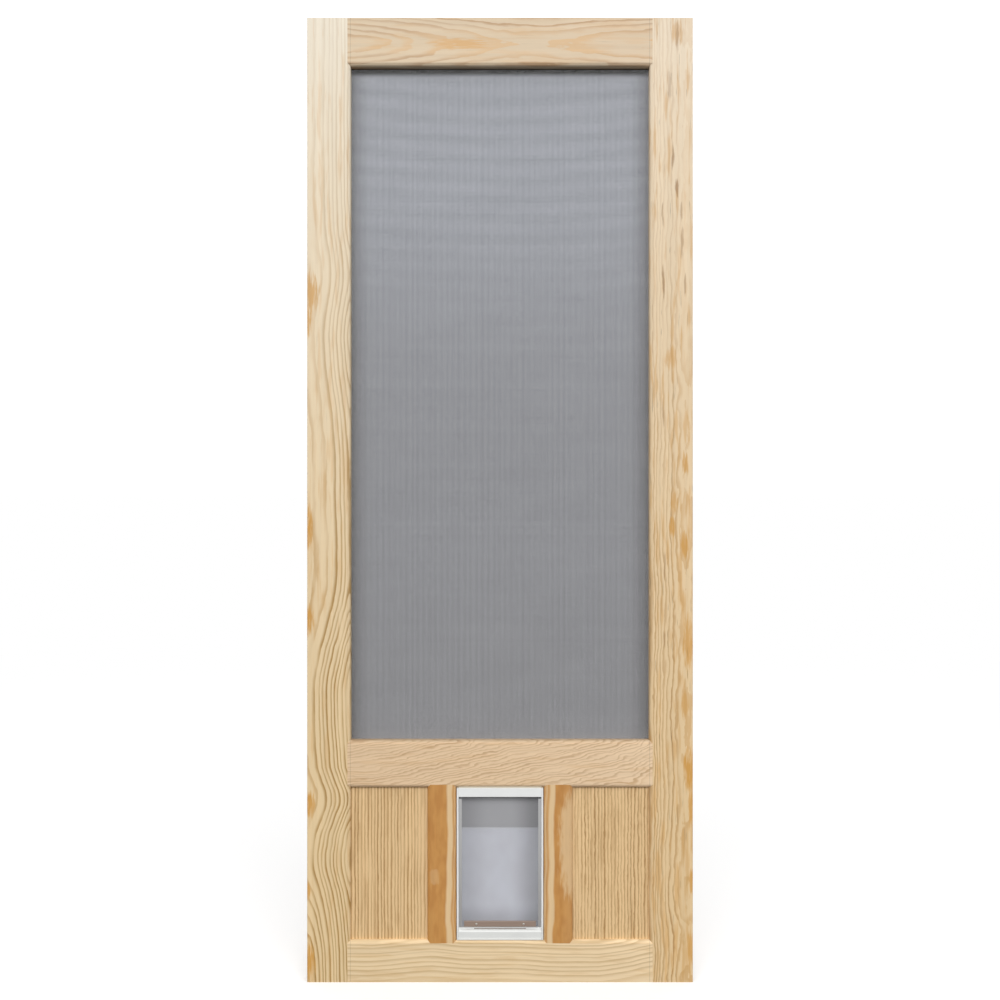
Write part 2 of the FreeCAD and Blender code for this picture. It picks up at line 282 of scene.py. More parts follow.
class FinishNodes(NodeBench):
    """The node tree of one finish, with the patterns that the finishes share.

    A mix node has sockets for each type of value, so its share and its two colours are found by number.
    """

    MIX_INPUTS: ClassVar[tuple[int, int, int]] = (0, 6, 7)
    MIX_OUTPUT: ClassVar[int] = 2

    def __init__(self, name: str) -> None:
        """Makes a material that is still bare.

        Args:
            name: The finish's name.
        """
        self.material = bpy.data.materials.new(name)
        self.material.use_nodes = True
        super().__init__(self.material.node_tree)

    def place(self) -> Spot:
        """Gives the place on the door.

        Returns:
            The x, y and z of the point that is being shaded.
        """
        spot = self.field("ShaderNodeTexCoord", output="Object")
        split = self.node("ShaderNodeSeparateXYZ", sockets={"Vector": spot})
        return Field(self, split.outputs[0]), Field(self, split.outputs[1]), Field(self, split.outputs[2])

    def noise(self, x: Number, y: Number, z: Number, detail: float = 2.0) -> Field:
        """Gives a smooth cloud from 0 to 1 with blobs about one unit wide.

        Args:
            x: First coordinate, already divided by the size of the blobs.
            y: Second coordinate.
            z: Third coordinate.
            detail: How many finer clouds lie on the first.

        Returns:
            The cloud.
        """
        spot = self.field("ShaderNodeCombineXYZ", sockets={"X": x, "Y": y, "Z": z})
        return self.field("ShaderNodeTexNoise", sockets={"Vector": spot, "Scale": 1.0, "Detail": detail})

    def cloud(self, spot: Spot, size: Size, detail: float = 2.0) -> Field:
        """Gives a smooth cloud from 0 to 1 with blobs of a given size along x, y and z."""
        return self.noise(*(part / length for part, length in zip(spot, size)), detail)

    def threads(self, spot: Spot, size: Pair, seed: float = 0.0) -> Field:
        """Gives a cloud from 0 to 1 that is drawn out along the grain.

        Args:
            spot: Place along the grain, across it and through the leaf.
            size: Length and width of the threads.
            seed: What sets one pattern apart from another.

        Returns:
            The cloud.
        """
        length, width = size
        return self.noise(spot[0] / length + seed, spot[1] / width, spot[2] / width)

    def chance(self, number: Number) -> Field:
        """Gives each whole number its own chance value from 0 to 1."""
        return self.field("ShaderNodeTexWhiteNoise", {"noise_dimensions": "1D"}, {"W": number})

    def rise(self, value: Number, low: float, high: float) -> Field:
        """Goes smoothly from 0 at the low value to 1 at the high one.

        Args:
            value: What is compared.
            low: Where the rise starts.
            high: Where it ends.

        Returns:
            The rise.
        """
        return self.field(
            "ShaderNodeMapRange",
            {"interpolation_type": "SMOOTHSTEP"},
            {"Value": value, "From Min": low, "From Max": high},
        )

    def curve(self, value: Field, points: Curve) -> Number:
        """Draws a smooth curve through points.

        Args:
            value: What runs from 0 to 1.
            points: Each point's place from 0 to 1 and its height.

        Returns:
            The height of the curve, which is a plain number where it is level.
        """
        heights = [height for _, height in points]
        low, span = min(heights), max(heights) - min(heights)
        if span == 0:
            return low
        stops = [(place, grey((height - low) / span)) for place, height in points]
        return self.field("ShaderNodeValToRGB", {"stops": stops}, {"Fac": value}) * span + low

    def blend(self, share: Number, first: Union[Field, Colour], second: Union[Field, Colour]) -> Field:
        """Mixes two colours.

        Args:
            share: How much there is of the second.
            first: The colour at 0.
            second: The colour at 1.

        Returns:
            The mixed colour.
        """
        sockets = dict(zip(self.MIX_INPUTS, (share, first, second)))
        return self.field("ShaderNodeMix", {"data_type": "RGBA"}, sockets, self.MIX_OUTPUT)

    def dim(self, colour: Field, factor: Number) -> Field:
        """Makes a colour lighter or darker by a factor."""
        return self.field("ShaderNodeVectorMath", {"operation": "SCALE"}, {"Vector": colour, "Scale": factor})

    def relief(self, height: Field, depth: float) -> Field:
        """Turns a height from 0 to 1 into a bumpy normal of that depth."""
        return self.field("ShaderNodeBump", sockets={"Height": height, "Strength": 1.0, "Distance": depth})

    def surface(self, sockets: Mapping[Union[str, int], Given]) -> bpy.types.Material:
        """Closes the tree with its surface.

        Args:
            sockets: What goes into the surface's inputs.

        Returns:
            The finished material.
        """
        shader = self.field("ShaderNodeBsdfPrincipled", sockets=sockets)
        self.node("ShaderNodeOutputMaterial", sockets={"Surface": shader})
        return self.material


class ShapeNodes(NodeBench):
    """A tree that makes a repeated shape, with named inputs for its sizes."""

    def __init__(self, name: str, inputs: Mapping[str, str]) -> None:
        """Makes the tree's inputs.

        Args:
            name: The tree's name.
            inputs: The type of socket of each named input.
        """
        super().__init__(bpy.data.node_groups.new(name, "GeometryNodeTree"))
        self.given: dict[str, str] = {}
        self.tree.interface.new_socket("Shape", in_out="OUTPUT", socket_type="NodeSocketGeometry")
        for label, kind in {"Guide": "NodeSocketGeometry", **inputs, "Finish": "NodeSocketMaterial"}.items():
            socket = self.tree.interface.new_socket(label, in_out="INPUT", socket_type=kind)
            self.given[label] = socket.identifier
        self.start = self.node("NodeGroupInput")

    def input(self, label: str) -> Field:
        """Gives one of the tree's named inputs."""
        return Field(self, self.start.outputs[label])

    def close(self, shape: Field) -> None:
        """Ends the tree with plain faces that carry the finish.

        Args:
            shape: What the tree has made.
        """
        plain = self.field("GeometryNodeRealizeInstances", sockets={"Geometry": shape})
        finish = self.input("Finish")
        dressed = self.field("GeometryNodeSetMaterial", sockets={"Geometry": plain, "Material": finish})
        self.node("NodeGroupOutput", sockets={"Shape": dressed})

    def make(self, name: str, guide: bpy.types.Mesh, values: Mapping[str, Given]) -> bpy.types.Object:
        """Runs the tree once and keeps its result as a plain mesh.

        Args:
            name: The piece's name.
            guide: The mesh that the shape follows.
            values: A value for each named input.

        Returns:
            The piece.
        """
        piece = stand(name, guide)
        modifier = piece.modifiers.new("shape", "NODES")
        modifier.node_group = self.tree
        for label, value in values.items():
            modifier[self.given[label]] = value
        evaluated = piece.evaluated_get(bpy.context.evaluated_depsgraph_get())
        mesh = bpy.data.meshes.new_from_object(evaluated)
        piece.modifiers.remove(modifier)
        piece.data = mesh
        return piece


@dataclass(frozen=True)
class Flare:
    """A patch on a board: its share along, its place across, half its length and width and its depth."""

    share: float
    across: float
    half_length: float
    half_width: float
    depth: float = 1.0


@dataclass(frozen=True)
class PineBoard:
    """A sawn pine board: where the heart of its log lay, how its rings run and its colours.

    Shares run along the board from 0 to 1, upwards or from the hinge edge. The heart is given across the
    board from its middle, and behind the middle of the leaf. A ripple is a height and a length. Threads are a
    length and a width, and edges are where a pattern starts to show and where it shows in full.
    """

    STREAK: ClassVar[Pair] = (450 * MM, 11 * MM)
    STREAK_TONE: ClassVar[float] = 0.20
    FIBRE: ClassVar[Pair] = (35 * MM, 0.6 * MM)
    FIBRE_TONE: ClassVar[float] = 0.12
    FLECK: ClassVar[Pair] = (60 * MM, 3.2 * MM)
    FLECK_EDGES: ClassVar[Pair] = (0.66, 0.74)
    HONEY: ClassVar[Pair] = (90 * MM, 9 * MM)
    HONEY_EDGES: ClassVar[Pair] = (0.50, 0.68)
    RIPPLE_WIDTH: ClassVar[float] = 0.3
    FLATNESS_EDGES: ClassVar[Pair] = (0.80, 0.99)
    RING_DRIFT: ClassVar[float] = 0.4
    LATE_START: ClassVar[Pair] = (0.38, 0.84)
    LATE_END: ClassVar[Pair] = (0.92, 1.0)
    FAINTEST_RING: ClassVar[float] = 0.5
    FADING: ClassVar[Pair] = (150 * MM, 30 * MM)
    FADING_EDGES: ClassVar[Pair] = (0.1, 0.55)
    RAGGED: ClassVar[Pair] = (28 * MM, 3.0 * MM)
    RAGGED_DEPTH: ClassVar[float] = 3.0
    PATCH_EDGES: ClassVar[Pair] = (0.1, 1.4)
    PITCH: ClassVar[Colour] = paint(142, 98, 54)
    JOINT_EDGES: ClassVar[Pair] = (0.3 * MM, 0.9 * MM)
    JOINT_SHADE: ClassVar[float] = 0.22
    # Band under the board's upper edge that painted shade covers, in place of its bevel's highlight.
    SHADED_LEDGE: ClassVar[Pair] = (1 * MM, 7 * MM)
    ROUGHNESS: ClassVar[float] = 0.60
    FIBRE_ROUGHNESS: ClassVar[float] = 0.2
    LATE_SMOOTHNESS: ClassVar[float] = 0.1
    SHEEN: ClassVar[float] = 0.35
    RELIEF: ClassVar[float] = 0.12 * MM

    name: str
    grain: Grain
    pale: tuple[Colour, Colour]
    line: Colour
    flat_line: Colour
    flame: Colour
    ring: float
    heart: Pair
    sways: Curve = LEVEL_LINE
    dips: Curve = LEVEL_LINE
    ripple: Pair = (1.5 * MM, 120 * MM)
    wobble: Pair = (0.5 * MM, 22 * MM)
    strength: Curve = ((0.0, 0.9), (1.0, 0.9))
    flares: tuple[Flare, ...] = ()
    pitch_marks: tuple[Flare, ...] = ()
    fleck: float = 0.08
    honey: float = 0.25
    unevenness: float = 1.8
    narrowing: float = 0.0
    shoulder: float = 0.0
    # How much painted shade dulls the board's upper edge; on the middle rail it damps the lit bevel.
    dust_and_shade: float = 0.0
    seed: float = 0.0

    def material(self, node: str) -> bpy.types.Material:
        """Makes the board's finish.

        Args:
            node: The board's node, whose box places the pattern.

        Returns:
            The finish.
        """
        low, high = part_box(node)
        middle = (low + high) / 2
        nodes = FinishNodes(self.name)
        x, y, z = nodes.place()
        if self.grain is Grain.UPRIGHT:
            spot, length, width = (z - middle.z, x - middle.x, y), high.z - low.z, high.x - low.x
        else:
            spot, length, width = (x - middle.x, z - middle.z, y), high.x - low.x, high.z - low.z
        share = spot[0] / length + 0.5
        stray = self.waver(nodes, spot, self.seed)
        radius, flatness = self.rings(nodes, share, spot, stray)
        late = self.latewood(nodes, radius, spot)
        if self.narrowing:
            late = nodes.math("POWER", late, 1 + flatness * self.narrowing)
        streak = nodes.threads(spot, self.STREAK, self.seed)
        fibre = nodes.threads(spot, self.FIBRE, self.seed)
        fleck = nodes.rise(nodes.threads(spot, self.FLECK, self.seed), *self.FLECK_EDGES)
        honey = nodes.rise(nodes.threads(spot, self.HONEY, -self.seed), *self.HONEY_EDGES)
        depth = late * nodes.curve(share, self.strength)
        ground = nodes.blend(share * share, self.pale[0], self.pale[1])
        ground = nodes.blend(honey * self.honey, ground, self.flame)
        wood = nodes.blend(depth, ground, nodes.blend(flatness, self.line, self.flat_line))
        for patches, colour in ((self.flares, self.flame), (self.pitch_marks, self.PITCH)):
            if patches:
                wood = nodes.blend(self.spread(nodes, patches, length, spot, stray), wood, colour)
        tone = 1.0 + (streak - CLOUD_MEAN) * self.STREAK_TONE + (fibre - CLOUD_MEAN) * self.FIBRE_TONE
        tone = tone - fleck * self.fleck
        if self.shoulder:
            clear = nodes.rise(abs(abs(spot[0]) - self.shoulder), *self.JOINT_EDGES)
            tone = tone * (1.0 - self.JOINT_SHADE + clear * self.JOINT_SHADE)
        # Painted shade along the upper edge, in place of the bevel's highlight.
        if self.dust_and_shade:
            tone = tone * (1.0 - self.dust_and_shade + self.dust_and_shade * nodes.rise(width / 2 - spot[1], *self.SHADED_LEDGE))
        rough = self.ROUGHNESS + (fibre - CLOUD_MEAN) * self.FIBRE_ROUGHNESS - late * self.LATE_SMOOTHNESS
        return nodes.surface({
            "Base Color": nodes.dim(wood, tone),
            "Roughness": rough,
            "Specular IOR Level": self.SHEEN,
            "Normal": nodes.relief((late + fibre) / 2, self.RELIEF),
        })

    def rings(self, nodes: FinishNodes, share: Field, spot: Spot, stray: Field) -> tuple[Field, Field]:
        """Finds how far the shaded point lay from the heart of its log.

        Args:
            nodes: The finish that is being made.
            share: Place along the board from 0 to 1.
            spot: Place along and across the board from its middle, and through the leaf.
            stray: How far the rings stray across the board.

        Returns:
            The distance from the heart, and how flat the rings lie to the face, from 0 to 1.
        """
        across, back = self.heart
        side = spot[1] - across - nodes.curve(share, self.sways) + stray
        depth = spot[2] - back - nodes.curve(share, self.dips) + self.waver(nodes, spot, -self.seed)
        radius = nodes.math("SQRT", side * side + depth * depth)
        return radius, nodes.rise(abs(depth) / radius, *self.FLATNESS_EDGES)

    def waver(self, nodes: FinishNodes, spot: Spot, seed: float) -> Field:
        """Lets the rings stray in long ripples, with a short wobble on them.

        Args:
            nodes: The finish that is being made.
            spot: Place along and across the board from its middle, and through the leaf.
            seed: What sets one direction apart from the other.

        Returns:
            How far the rings stray.
        """
        long, short = (
            (nodes.threads(spot, (length, self.RIPPLE_WIDTH * length), seed) - CLOUD_MEAN) * (2 * height)
            for height, length in (self.ripple, self.wobble)
        )
        return long + short

    def latewood(self, nodes: FinishNodes, radius: Field, spot: Spot) -> Field:
        """Draws the dark part of each ring, which comes on slowly and stops short.

        Args:
            nodes: The finish that is being made.
            radius: Distance from the heart.
            spot: Place along and across the board from its middle, and through the leaf.

        Returns:
            How much latewood there is, from 0 to 1.
        """
        even = radius / self.ring
        drift = nodes.noise(even * self.RING_DRIFT + self.seed, 0.0, 0.0) - CLOUD_MEAN
        count = even + drift * self.unevenness
        part = nodes.math("FRACT", count)
        strength = nodes.chance(nodes.math("FLOOR", count) + self.seed)
        fade = nodes.threads(spot, self.FADING, self.seed)
        dark = nodes.rise(part, *self.LATE_START) * (1 - nodes.rise(part, *self.LATE_END))
        strong = self.FAINTEST_RING + strength * (1 - self.FAINTEST_RING)
        return dark * strong * nodes.rise(fade, *self.FADING_EDGES)

    def spread(
        self, nodes: FinishNodes, patches: Sequence[Flare], length: float, spot: Spot, stray: Field
    ) -> Field:
        """Spreads patches of one colour, whose edges are drawn out along the grain.

        Args:
            nodes: The finish that is being made.
            patches: The patches.
            length: The board's length.
            spot: Place along and across the board from its middle, and through the leaf.
            stray: How far the rings stray across the board, which the patches follow.

        Returns:
            How much of the colour there is, from 0 to 1.
        """
        ragged = (nodes.threads(spot, self.RAGGED, self.seed) - CLOUD_MEAN) * self.RAGGED_DEPTH
        amount: Number = 0.0
        for flare in patches:
            up = (spot[0] - (flare.share - 0.5) * length) / flare.half_length
            over = (spot[1] + stray - flare.across) / flare.half_width
            patch = 1 - nodes.rise(up * up + over * over + ragged, *self.PATCH_EDGES)
            amount = nodes.math("MAXIMUM", patch * flare.depth, amount)
        return amount


@dataclass(frozen=True)
class PaleSpot:
    """A pale patch on an amber strip, by shares of the strip: its place, half its size and how pale it is."""

    across: float
    up: float
    half_width: float
    half_height: float
    paleness: float


@dataclass(frozen=True)
class AmberStrip:
    """A strip sawn along one wide ring: broad amber latewood with pale bands that wander along it.

    Bands give the amount of amber across the strip, from its hinge side.
    """

    WANDER: ClassVar[Pair] = (90 * MM, 90 * MM)
    STREAK: ClassVar[Pair] = (100 * MM, 4 * MM)
    STREAK_TONE: ClassVar[float] = 0.14
    STREAK_HEIGHT: ClassVar[float] = 0.4
    FIBRE: ClassVar[Pair] = (30 * MM, 0.6 * MM)
    FIBRE_TONE: ClassVar[float] = 0.14
    FIBRE_HEIGHT: ClassVar[float] = 0.6
    CLOUD: ClassVar[Pair] = (45 * MM, 16 * MM)
    CLOUD_EDGES: ClassVar[Pair] = (0.35, 0.65)
    RAGGED: ClassVar[Pair] = (26 * MM, 5 * MM)
    RAGGED_DEPTH: ClassVar[float] = 2.0
    SPOT_EDGES: ClassVar[Pair] = (0.3, 1.3)
    ROUGHNESS: ClassVar[float] = 0.56
    FIBRE_ROUGHNESS: ClassVar[float] = 0.2
    SHEEN: ClassVar[float] = 0.35
    RELIEF: ClassVar[float] = 0.12 * MM

    name: str
    amber: Colour
    deep_amber: Colour
    pale: Colour
    bands: Curve
    wander: float
    spots: tuple[PaleSpot, ...]
    seed: float

    def material(self, node: str) -> bpy.types.Material:
        """Makes the strip's finish.

        Args:
            node: The strip's node, whose box places the pattern.

        Returns:
            The finish.
        """
        low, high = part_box(node)
        nodes = FinishNodes(self.name)
        x, y, z = nodes.place()
        spot = (z, x, y)
        sway = nodes.threads(spot, self.WANDER, self.seed) - CLOUD_MEAN
        across = (x - low.x) / (high.x - low.x) + sway * self.wander
        up = (z - low.z) / (high.z - low.z)
        amount = nodes.curve(across, self.bands)
        ragged = (nodes.threads(spot, self.RAGGED, self.seed) - CLOUD_MEAN) * self.RAGGED_DEPTH
        for patch in self.spots:
            side = (across - patch.across) / patch.half_width
            lift = (up - patch.up) / patch.half_height
            inside = 1 - nodes.rise(side * side + lift * lift * lift * lift + ragged, *self.SPOT_EDGES)
            amount = amount * (1 - inside * patch.paleness)
        streak = nodes.threads(spot, self.STREAK, self.seed)
        fibre = nodes.threads(spot, self.FIBRE, self.seed)
        cloud = nodes.threads(spot, self.CLOUD, self.seed)
        wood = nodes.blend(nodes.rise(cloud, *self.CLOUD_EDGES), self.amber, self.deep_amber)
        tone = 1.0 + (streak - CLOUD_MEAN) * self.STREAK_TONE + (fibre - CLOUD_MEAN) * self.FIBRE_TONE
        return nodes.surface({
            "Base Color": nodes.dim(nodes.blend(amount, self.pale, wood), tone),
            "Roughness": self.ROUGHNESS + (fibre - CLOUD_MEAN) * self.FIBRE_ROUGHNESS,
            "Specular IOR Level": self.SHEEN,
            "Normal": nodes.relief(streak * self.STREAK_HEIGHT + fibre * self.FIBRE_HEIGHT, self.RELIEF),
        })


@dataclass(frozen=True)
class WhitePlastic:
    """Moulded white plastic, with painted warm shade on the top rim above one height and duller, trodden
    plastic below another.
    """

    MOTTLE: ClassVar[Size] = (30 * MM, 30 * MM, 30 * MM)
    MOTTLE_TONE: ClassVar[float] = 0.08
    MOTTLE_ROUGHNESS: ClassVar[float] = 0.14
    PEEL: ClassVar[Size] = (1.2 * MM, 1.2 * MM, 1.2 * MM)
    LIP_EDGE: ClassVar[float] = 0.3 * MM
    TREAD_EDGE: ClassVar[float] = 6 * MM
    TONE: ClassVar[float] = 0.97
    ROUGHNESS: ClassVar[float] = 0.34
    RELIEF: ClassVar[float] = 0.02 * MM

    name: str
    body: Colour
    painted_lip_shade: Colour
    trodden: Colour
    lip_height: float
    tread_height: float

    def material(self) -> bpy.types.Material:
        """Makes the plastic with its faint mottling and orange peel.

        Returns:
            The finish.
        """
        nodes = FinishNodes(self.name)
        spot = nodes.place()
        mottle = nodes.cloud(spot, self.MOTTLE) - CLOUD_MEAN
        # Painted shade on the top rim above its height, tinted warm like light off the wood.
        in_lip_shade = nodes.rise(spot[2], self.lip_height - self.LIP_EDGE, self.lip_height + self.LIP_EDGE)
        clean = nodes.rise(spot[2], self.tread_height - self.TREAD_EDGE, self.tread_height + self.TREAD_EDGE)
        colour = nodes.blend(in_lip_shade, nodes.blend(clean, self.trodden, self.body), self.painted_lip_shade)
        return nodes.surface({
            "Base Color": nodes.dim(colour, self.TONE + mottle * self.MOTTLE_TONE),
            "Roughness": self.ROUGHNESS + mottle * self.MOTTLE_ROUGHNESS,
            "Normal": nodes.relief(nodes.cloud(spot, self.PEEL), self.RELIEF),
        })


@dataclass(frozen=True)
class SmokedVinyl:
    """Cloudy vinyl sheet with a darker hem; each surface on the way of the light holds back its cover.

    Painted shade dulls the sheet towards its two sides, less so on the hinge side, and towards its foot.
    """

    # Painted shade towards the sides and the foot of the sheet.
    BORDER: ClassVar[Pair] = (0 * MM, 60 * MM)
    BORDER_SHADE: ClassVar[Pair] = (0.27, 0.42)
    FOOT: ClassVar[Pair] = (8 * MM, 52 * MM)
    FOOT_SHADE: ClassVar[float] = 0.25
    HAZE: ClassVar[Size] = (70 * MM, 70 * MM, 110 * MM)
    HAZE_EDGES: ClassVar[Pair] = (0.3, 0.7)
    HAZE_COVER: ClassVar[float] = 0.05
    WAVE: ClassVar[Size] = (50 * MM, 50 * MM, 80 * MM)
    WAVE_DETAIL: ClassVar[float] = 1.0
    SCUFF: ClassVar[Size] = (1.5 * MM, 1.5 * MM, 4 * MM)
    SCUFF_ROUGHNESS: ClassVar[float] = 0.16
    SEAM: ClassVar[Pair] = (0.6 * MM, 2.4 * MM)
    SEAM_SHARE: ClassVar[float] = 0.3
    ROUGHNESS: ClassVar[float] = 0.16
    RELIEF: ClassVar[float] = 1.2 * MM

    name: str
    tint: Colour
    haze: Colour
    hem: Colour
    weld: Colour
    hem_height: float
    cover: float
    hem_cover: float

    def material(self, node: str) -> bpy.types.Material:
        """Makes the vinyl with its cloudy haze, slight waves and the pale weld under its hem.

        Args:
            node: The sheet's node, whose box places its painted shade along the borders and foot.

        Returns:
            The finish.
        """
        low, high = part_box(node)
        nodes = FinishNodes(self.name)
        spot = nodes.place()
        x, _, z = spot
        # Painted shade, darker towards the sides and the foot.
        shade: Number = 1.0
        for inset, depth in zip((x - low.x, high.x - x), self.BORDER_SHADE):
            shade = shade - (1 - nodes.rise(inset, *self.BORDER)) * depth
        shade = shade * (1 - (1 - nodes.rise(z - low.z, *self.FOOT)) * self.FOOT_SHADE)
        haze = nodes.cloud(spot, self.HAZE)
        wave = nodes.cloud(spot, self.WAVE, self.WAVE_DETAIL)
        scuff = nodes.cloud(spot, self.SCUFF)
        folded = nodes.rise(z, self.hem_height - self.SEAM[0], self.hem_height + self.SEAM[0])
        seam = 1 - nodes.rise(abs(z - self.hem_height), *self.SEAM)
        sheet = nodes.blend(nodes.rise(haze, *self.HAZE_EDGES), self.tint, self.haze)
        film = nodes.blend(seam * self.SEAM_SHARE, nodes.blend(folded, sheet, self.hem), self.weld)
        cover = self.cover + folded * (self.hem_cover - self.cover)
        return nodes.surface({
            "Base Color": nodes.dim(film, shade),
            "Roughness": self.ROUGHNESS + scuff * self.SCUFF_ROUGHNESS,
            "Alpha": cover + (haze - CLOUD_MEAN) * self.HAZE_COVER,
            "Normal": nodes.relief(wave, self.RELIEF),
        })


@dataclass(frozen=True)
class StripPlastic:
    """Brown extruded plastic with fine lines along it."""

    DRAWN: ClassVar[Size] = (50 * MM, 0.8 * MM, 0.8 * MM)
    SPECK: ClassVar[Size] = (2 * MM, 2 * MM, 2 * MM)
    SPECK_ROUGHNESS: ClassVar[float] = 0.2
    ROUGHNESS: ClassVar[float] = 0.38
    RELIEF: ClassVar[float] = 0.05 * MM

    name: str
    body: Colour
    line: Colour

    def material(self) -> bpy.types.Material:
        """Makes the plastic with its drawn lines.

        Returns:
            The finish.
        """
        nodes = FinishNodes(self.name)
        spot = nodes.place()
        drawn = nodes.cloud(spot, self.DRAWN)
        speck = nodes.cloud(spot, self.SPECK) - CLOUD_MEAN
        return nodes.surface({
            "Base Color": nodes.blend(drawn, self.body, self.line),
            "Roughness": self.ROUGHNESS + speck * self.SPECK_ROUGHNESS,
            "Normal": nodes.relief(drawn, self.RELIEF),
        })


@dataclass(frozen=True)
class BrightSteel:
    """Bright steel with fine brush marks and duller patches."""

    BRUSH: ClassVar[Size] = (0.4 * MM, 10 * MM, 10 * MM)
    BRUSH_ROUGHNESS: ClassVar[float] = 0.16
    PATCH: ClassVar[Size] = (12 * MM, 4 * MM, 4 * MM)
    ROUGHNESS: ClassVar[float] = 0.24
    RELIEF: ClassVar[float] = 0.01 * MM

    name: str
    body: Colour
    worn: Colour

    def material(self) -> bpy.types.Material:
        """Makes the steel with its brush marks.

        Returns:
            The finish.
        """
        nodes = FinishNodes(self.name)
        spot = nodes.place()
        brush = nodes.cloud(spot, self.BRUSH)
        return nodes.surface({
            "Base Color": nodes.blend(nodes.cloud(spot, self.PATCH), self.body, self.worn),
            "Metallic": 1.0,
            "Roughness": self.ROUGHNESS + brush * self.BRUSH_ROUGHNESS,
            "Normal": nodes.relief(brush, self.RELIEF),
        })


@dataclass(frozen=True)
class MagnetRubber:
    """Magnetic rubber with a grainy skin."""

    GRAIN: ClassVar[Size] = (0.7 * MM, 0.7 * MM, 0.7 * MM)
    GRAIN_ROUGHNESS: ClassVar[float] = 0.3
    DUST: ClassVar[Size] = (10 * MM, 4 * MM, 4 * MM)
    DUST_EDGES: ClassVar[Pair] = (0.5, 0.8)
    ROUGHNESS: ClassVar[float] = 0.62
    RELIEF: ClassVar[float] = 0.08 * MM

    name: str
    body: Colour
    dust_and_shade: Colour

    def material(self) -> bpy.types.Material:
        """Makes the rubber with its grain and a little pale dusting.

        Returns:
            The finish.
        """
        nodes = FinishNodes(self.name)
        spot = nodes.place()
        grain = nodes.cloud(spot, self.GRAIN)
        dust_and_shade = nodes.rise(nodes.cloud(spot, self.DUST), *self.DUST_EDGES)
        return nodes.surface({
            "Base Color": nodes.blend(dust_and_shade, self.body, self.dust_and_shade),
            "Roughness": self.ROUGHNESS + (grain - CLOUD_MEAN) * self.GRAIN_ROUGHNESS,
            "Normal": nodes.relief(grain, self.RELIEF),
        })


@dataclass(frozen=True)
class ScreenYarn:
    """Coated grey yarn with painted light: bluer and paler above. Each yarn differs a little from its
    neighbours.

    The low and high tones are a dark and a pale one each. Painted shade dulls the cloth along its sides, and
    a painted shadow makes it darkest under the top rail.
    """

    YARN_TONE: ClassVar[float] = 0.12
    ROW_SEED: ClassVar[float] = 0.5
    BUNDLE: ClassVar[Pair] = (60 * MM, 3 * MM)
    BUNDLE_TONE: ClassVar[float] = 0.12
    CLOUD: ClassVar[Pair] = (160 * MM, 50 * MM)
    CLOUD_TONE: ClassVar[float] = 0.25
    CLOUD_ROUGHNESS: ClassVar[float] = 0.2
    RIB: ClassVar[float] = 12.4 * MM
    RIB_TONE: ClassVar[float] = 0.06
    BAND: ClassVar[float] = 42 * MM
    BAND_TONE: ClassVar[float] = 0.085
    BAND_SAG: ClassVar[float] = 26 * MM
    BAND_DRIFT: ClassVar[float] = 0.8
    DRIFT: ClassVar[Pair] = (420 * MM, 420 * MM)
    # Painted shade along the cloth's two sides, where the stiles would shade it.
    BORDER: ClassVar[Pair] = (8 * MM, 55 * MM)
    BORDER_SHADE: ClassVar[float] = 0.38
    # Painted shadow of the top rail across the head of the cloth.
    TOP: ClassVar[Pair] = (15 * MM, 28.5 * MM)
    TOP_SHADE: ClassVar[float] = 0.95
    # Painted light from above: the share of the high colours at each share of the cloth's height.
    FADING: ClassVar[Curve] = (
        (0.0, 0.0), (0.25, 0.18), (0.5, 0.34), (0.62, 0.52), (0.75, 0.84), (0.86, 1.0), (1.0, 1.0),
    )
    ROUGHNESS: ClassVar[float] = 0.5
    SHEEN: ClassVar[float] = 0.3

    name: str
    # The low and high colours; the paler, bluer high ones are painted light from above.
    low: tuple[Colour, Colour]
    high: tuple[Colour, Colour]
    pitch: float

    def material(self, node: str) -> bpy.types.Material:
        """Makes the yarn with its uneven tone, in streaks up and across the cloth.

        Args:
            node: The cloth's node, whose box places the tones.

        Returns:
            The finish.
        """
        foot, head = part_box(node)
        nodes = FinishNodes(self.name)
        x, y, z = nodes.place()
        # Painted light from above, growing up the cloth.
        up = nodes.curve((z - foot.z) / (head.z - foot.z), self.FADING)
        inset = nodes.math("MINIMUM", x - foot.x, head.x - x)
        # Painted shade along the sides.
        painted_shade = 1 - self.BORDER_SHADE * (1 - nodes.rise(inset, *self.BORDER))
        # Painted shadow under the top rail.
        painted_shade = painted_shade * (1 - self.TOP_SHADE * (1 - nodes.rise(head.z - z, *self.TOP)))
        column = nodes.chance(nodes.math("FLOOR", x / self.pitch))
        row = nodes.chance(nodes.math("FLOOR", z / self.pitch) + self.ROW_SEED)
        upright = nodes.threads((z, x, y), self.BUNDLE)
        level = nodes.threads((x, z, y), self.BUNDLE)
        cloud = nodes.threads((x, z, y), self.CLOUD) - CLOUD_MEAN
        drift = nodes.threads((x, z, y), self.DRIFT) * self.BAND_DRIFT
        rib = nodes.math("SINE", x * (math.tau / self.RIB))
        aside = (x - (foot.x + head.x) / 2) / ((head.x - foot.x) / 2)
        band = nodes.math("SINE", ((z - aside * aside * self.BAND_SAG) / self.BAND + drift) * math.tau)
        share = 0.5 + (column + row - 1) * self.YARN_TONE + (upright + level - 1) * self.BUNDLE_TONE
        share = share + cloud * self.CLOUD_TONE + rib * self.RIB_TONE + band * up * up * self.BAND_TONE
        dark, pale = (nodes.blend(up, low, high) for low, high in zip(self.low, self.high))
        return nodes.surface({
            "Base Color": nodes.dim(nodes.blend(share, dark, pale), painted_shade),
            "Roughness": self.ROUGHNESS + cloud * self.CLOUD_ROUGHNESS,
            "Specular IOR Level": self.SHEEN,
        })


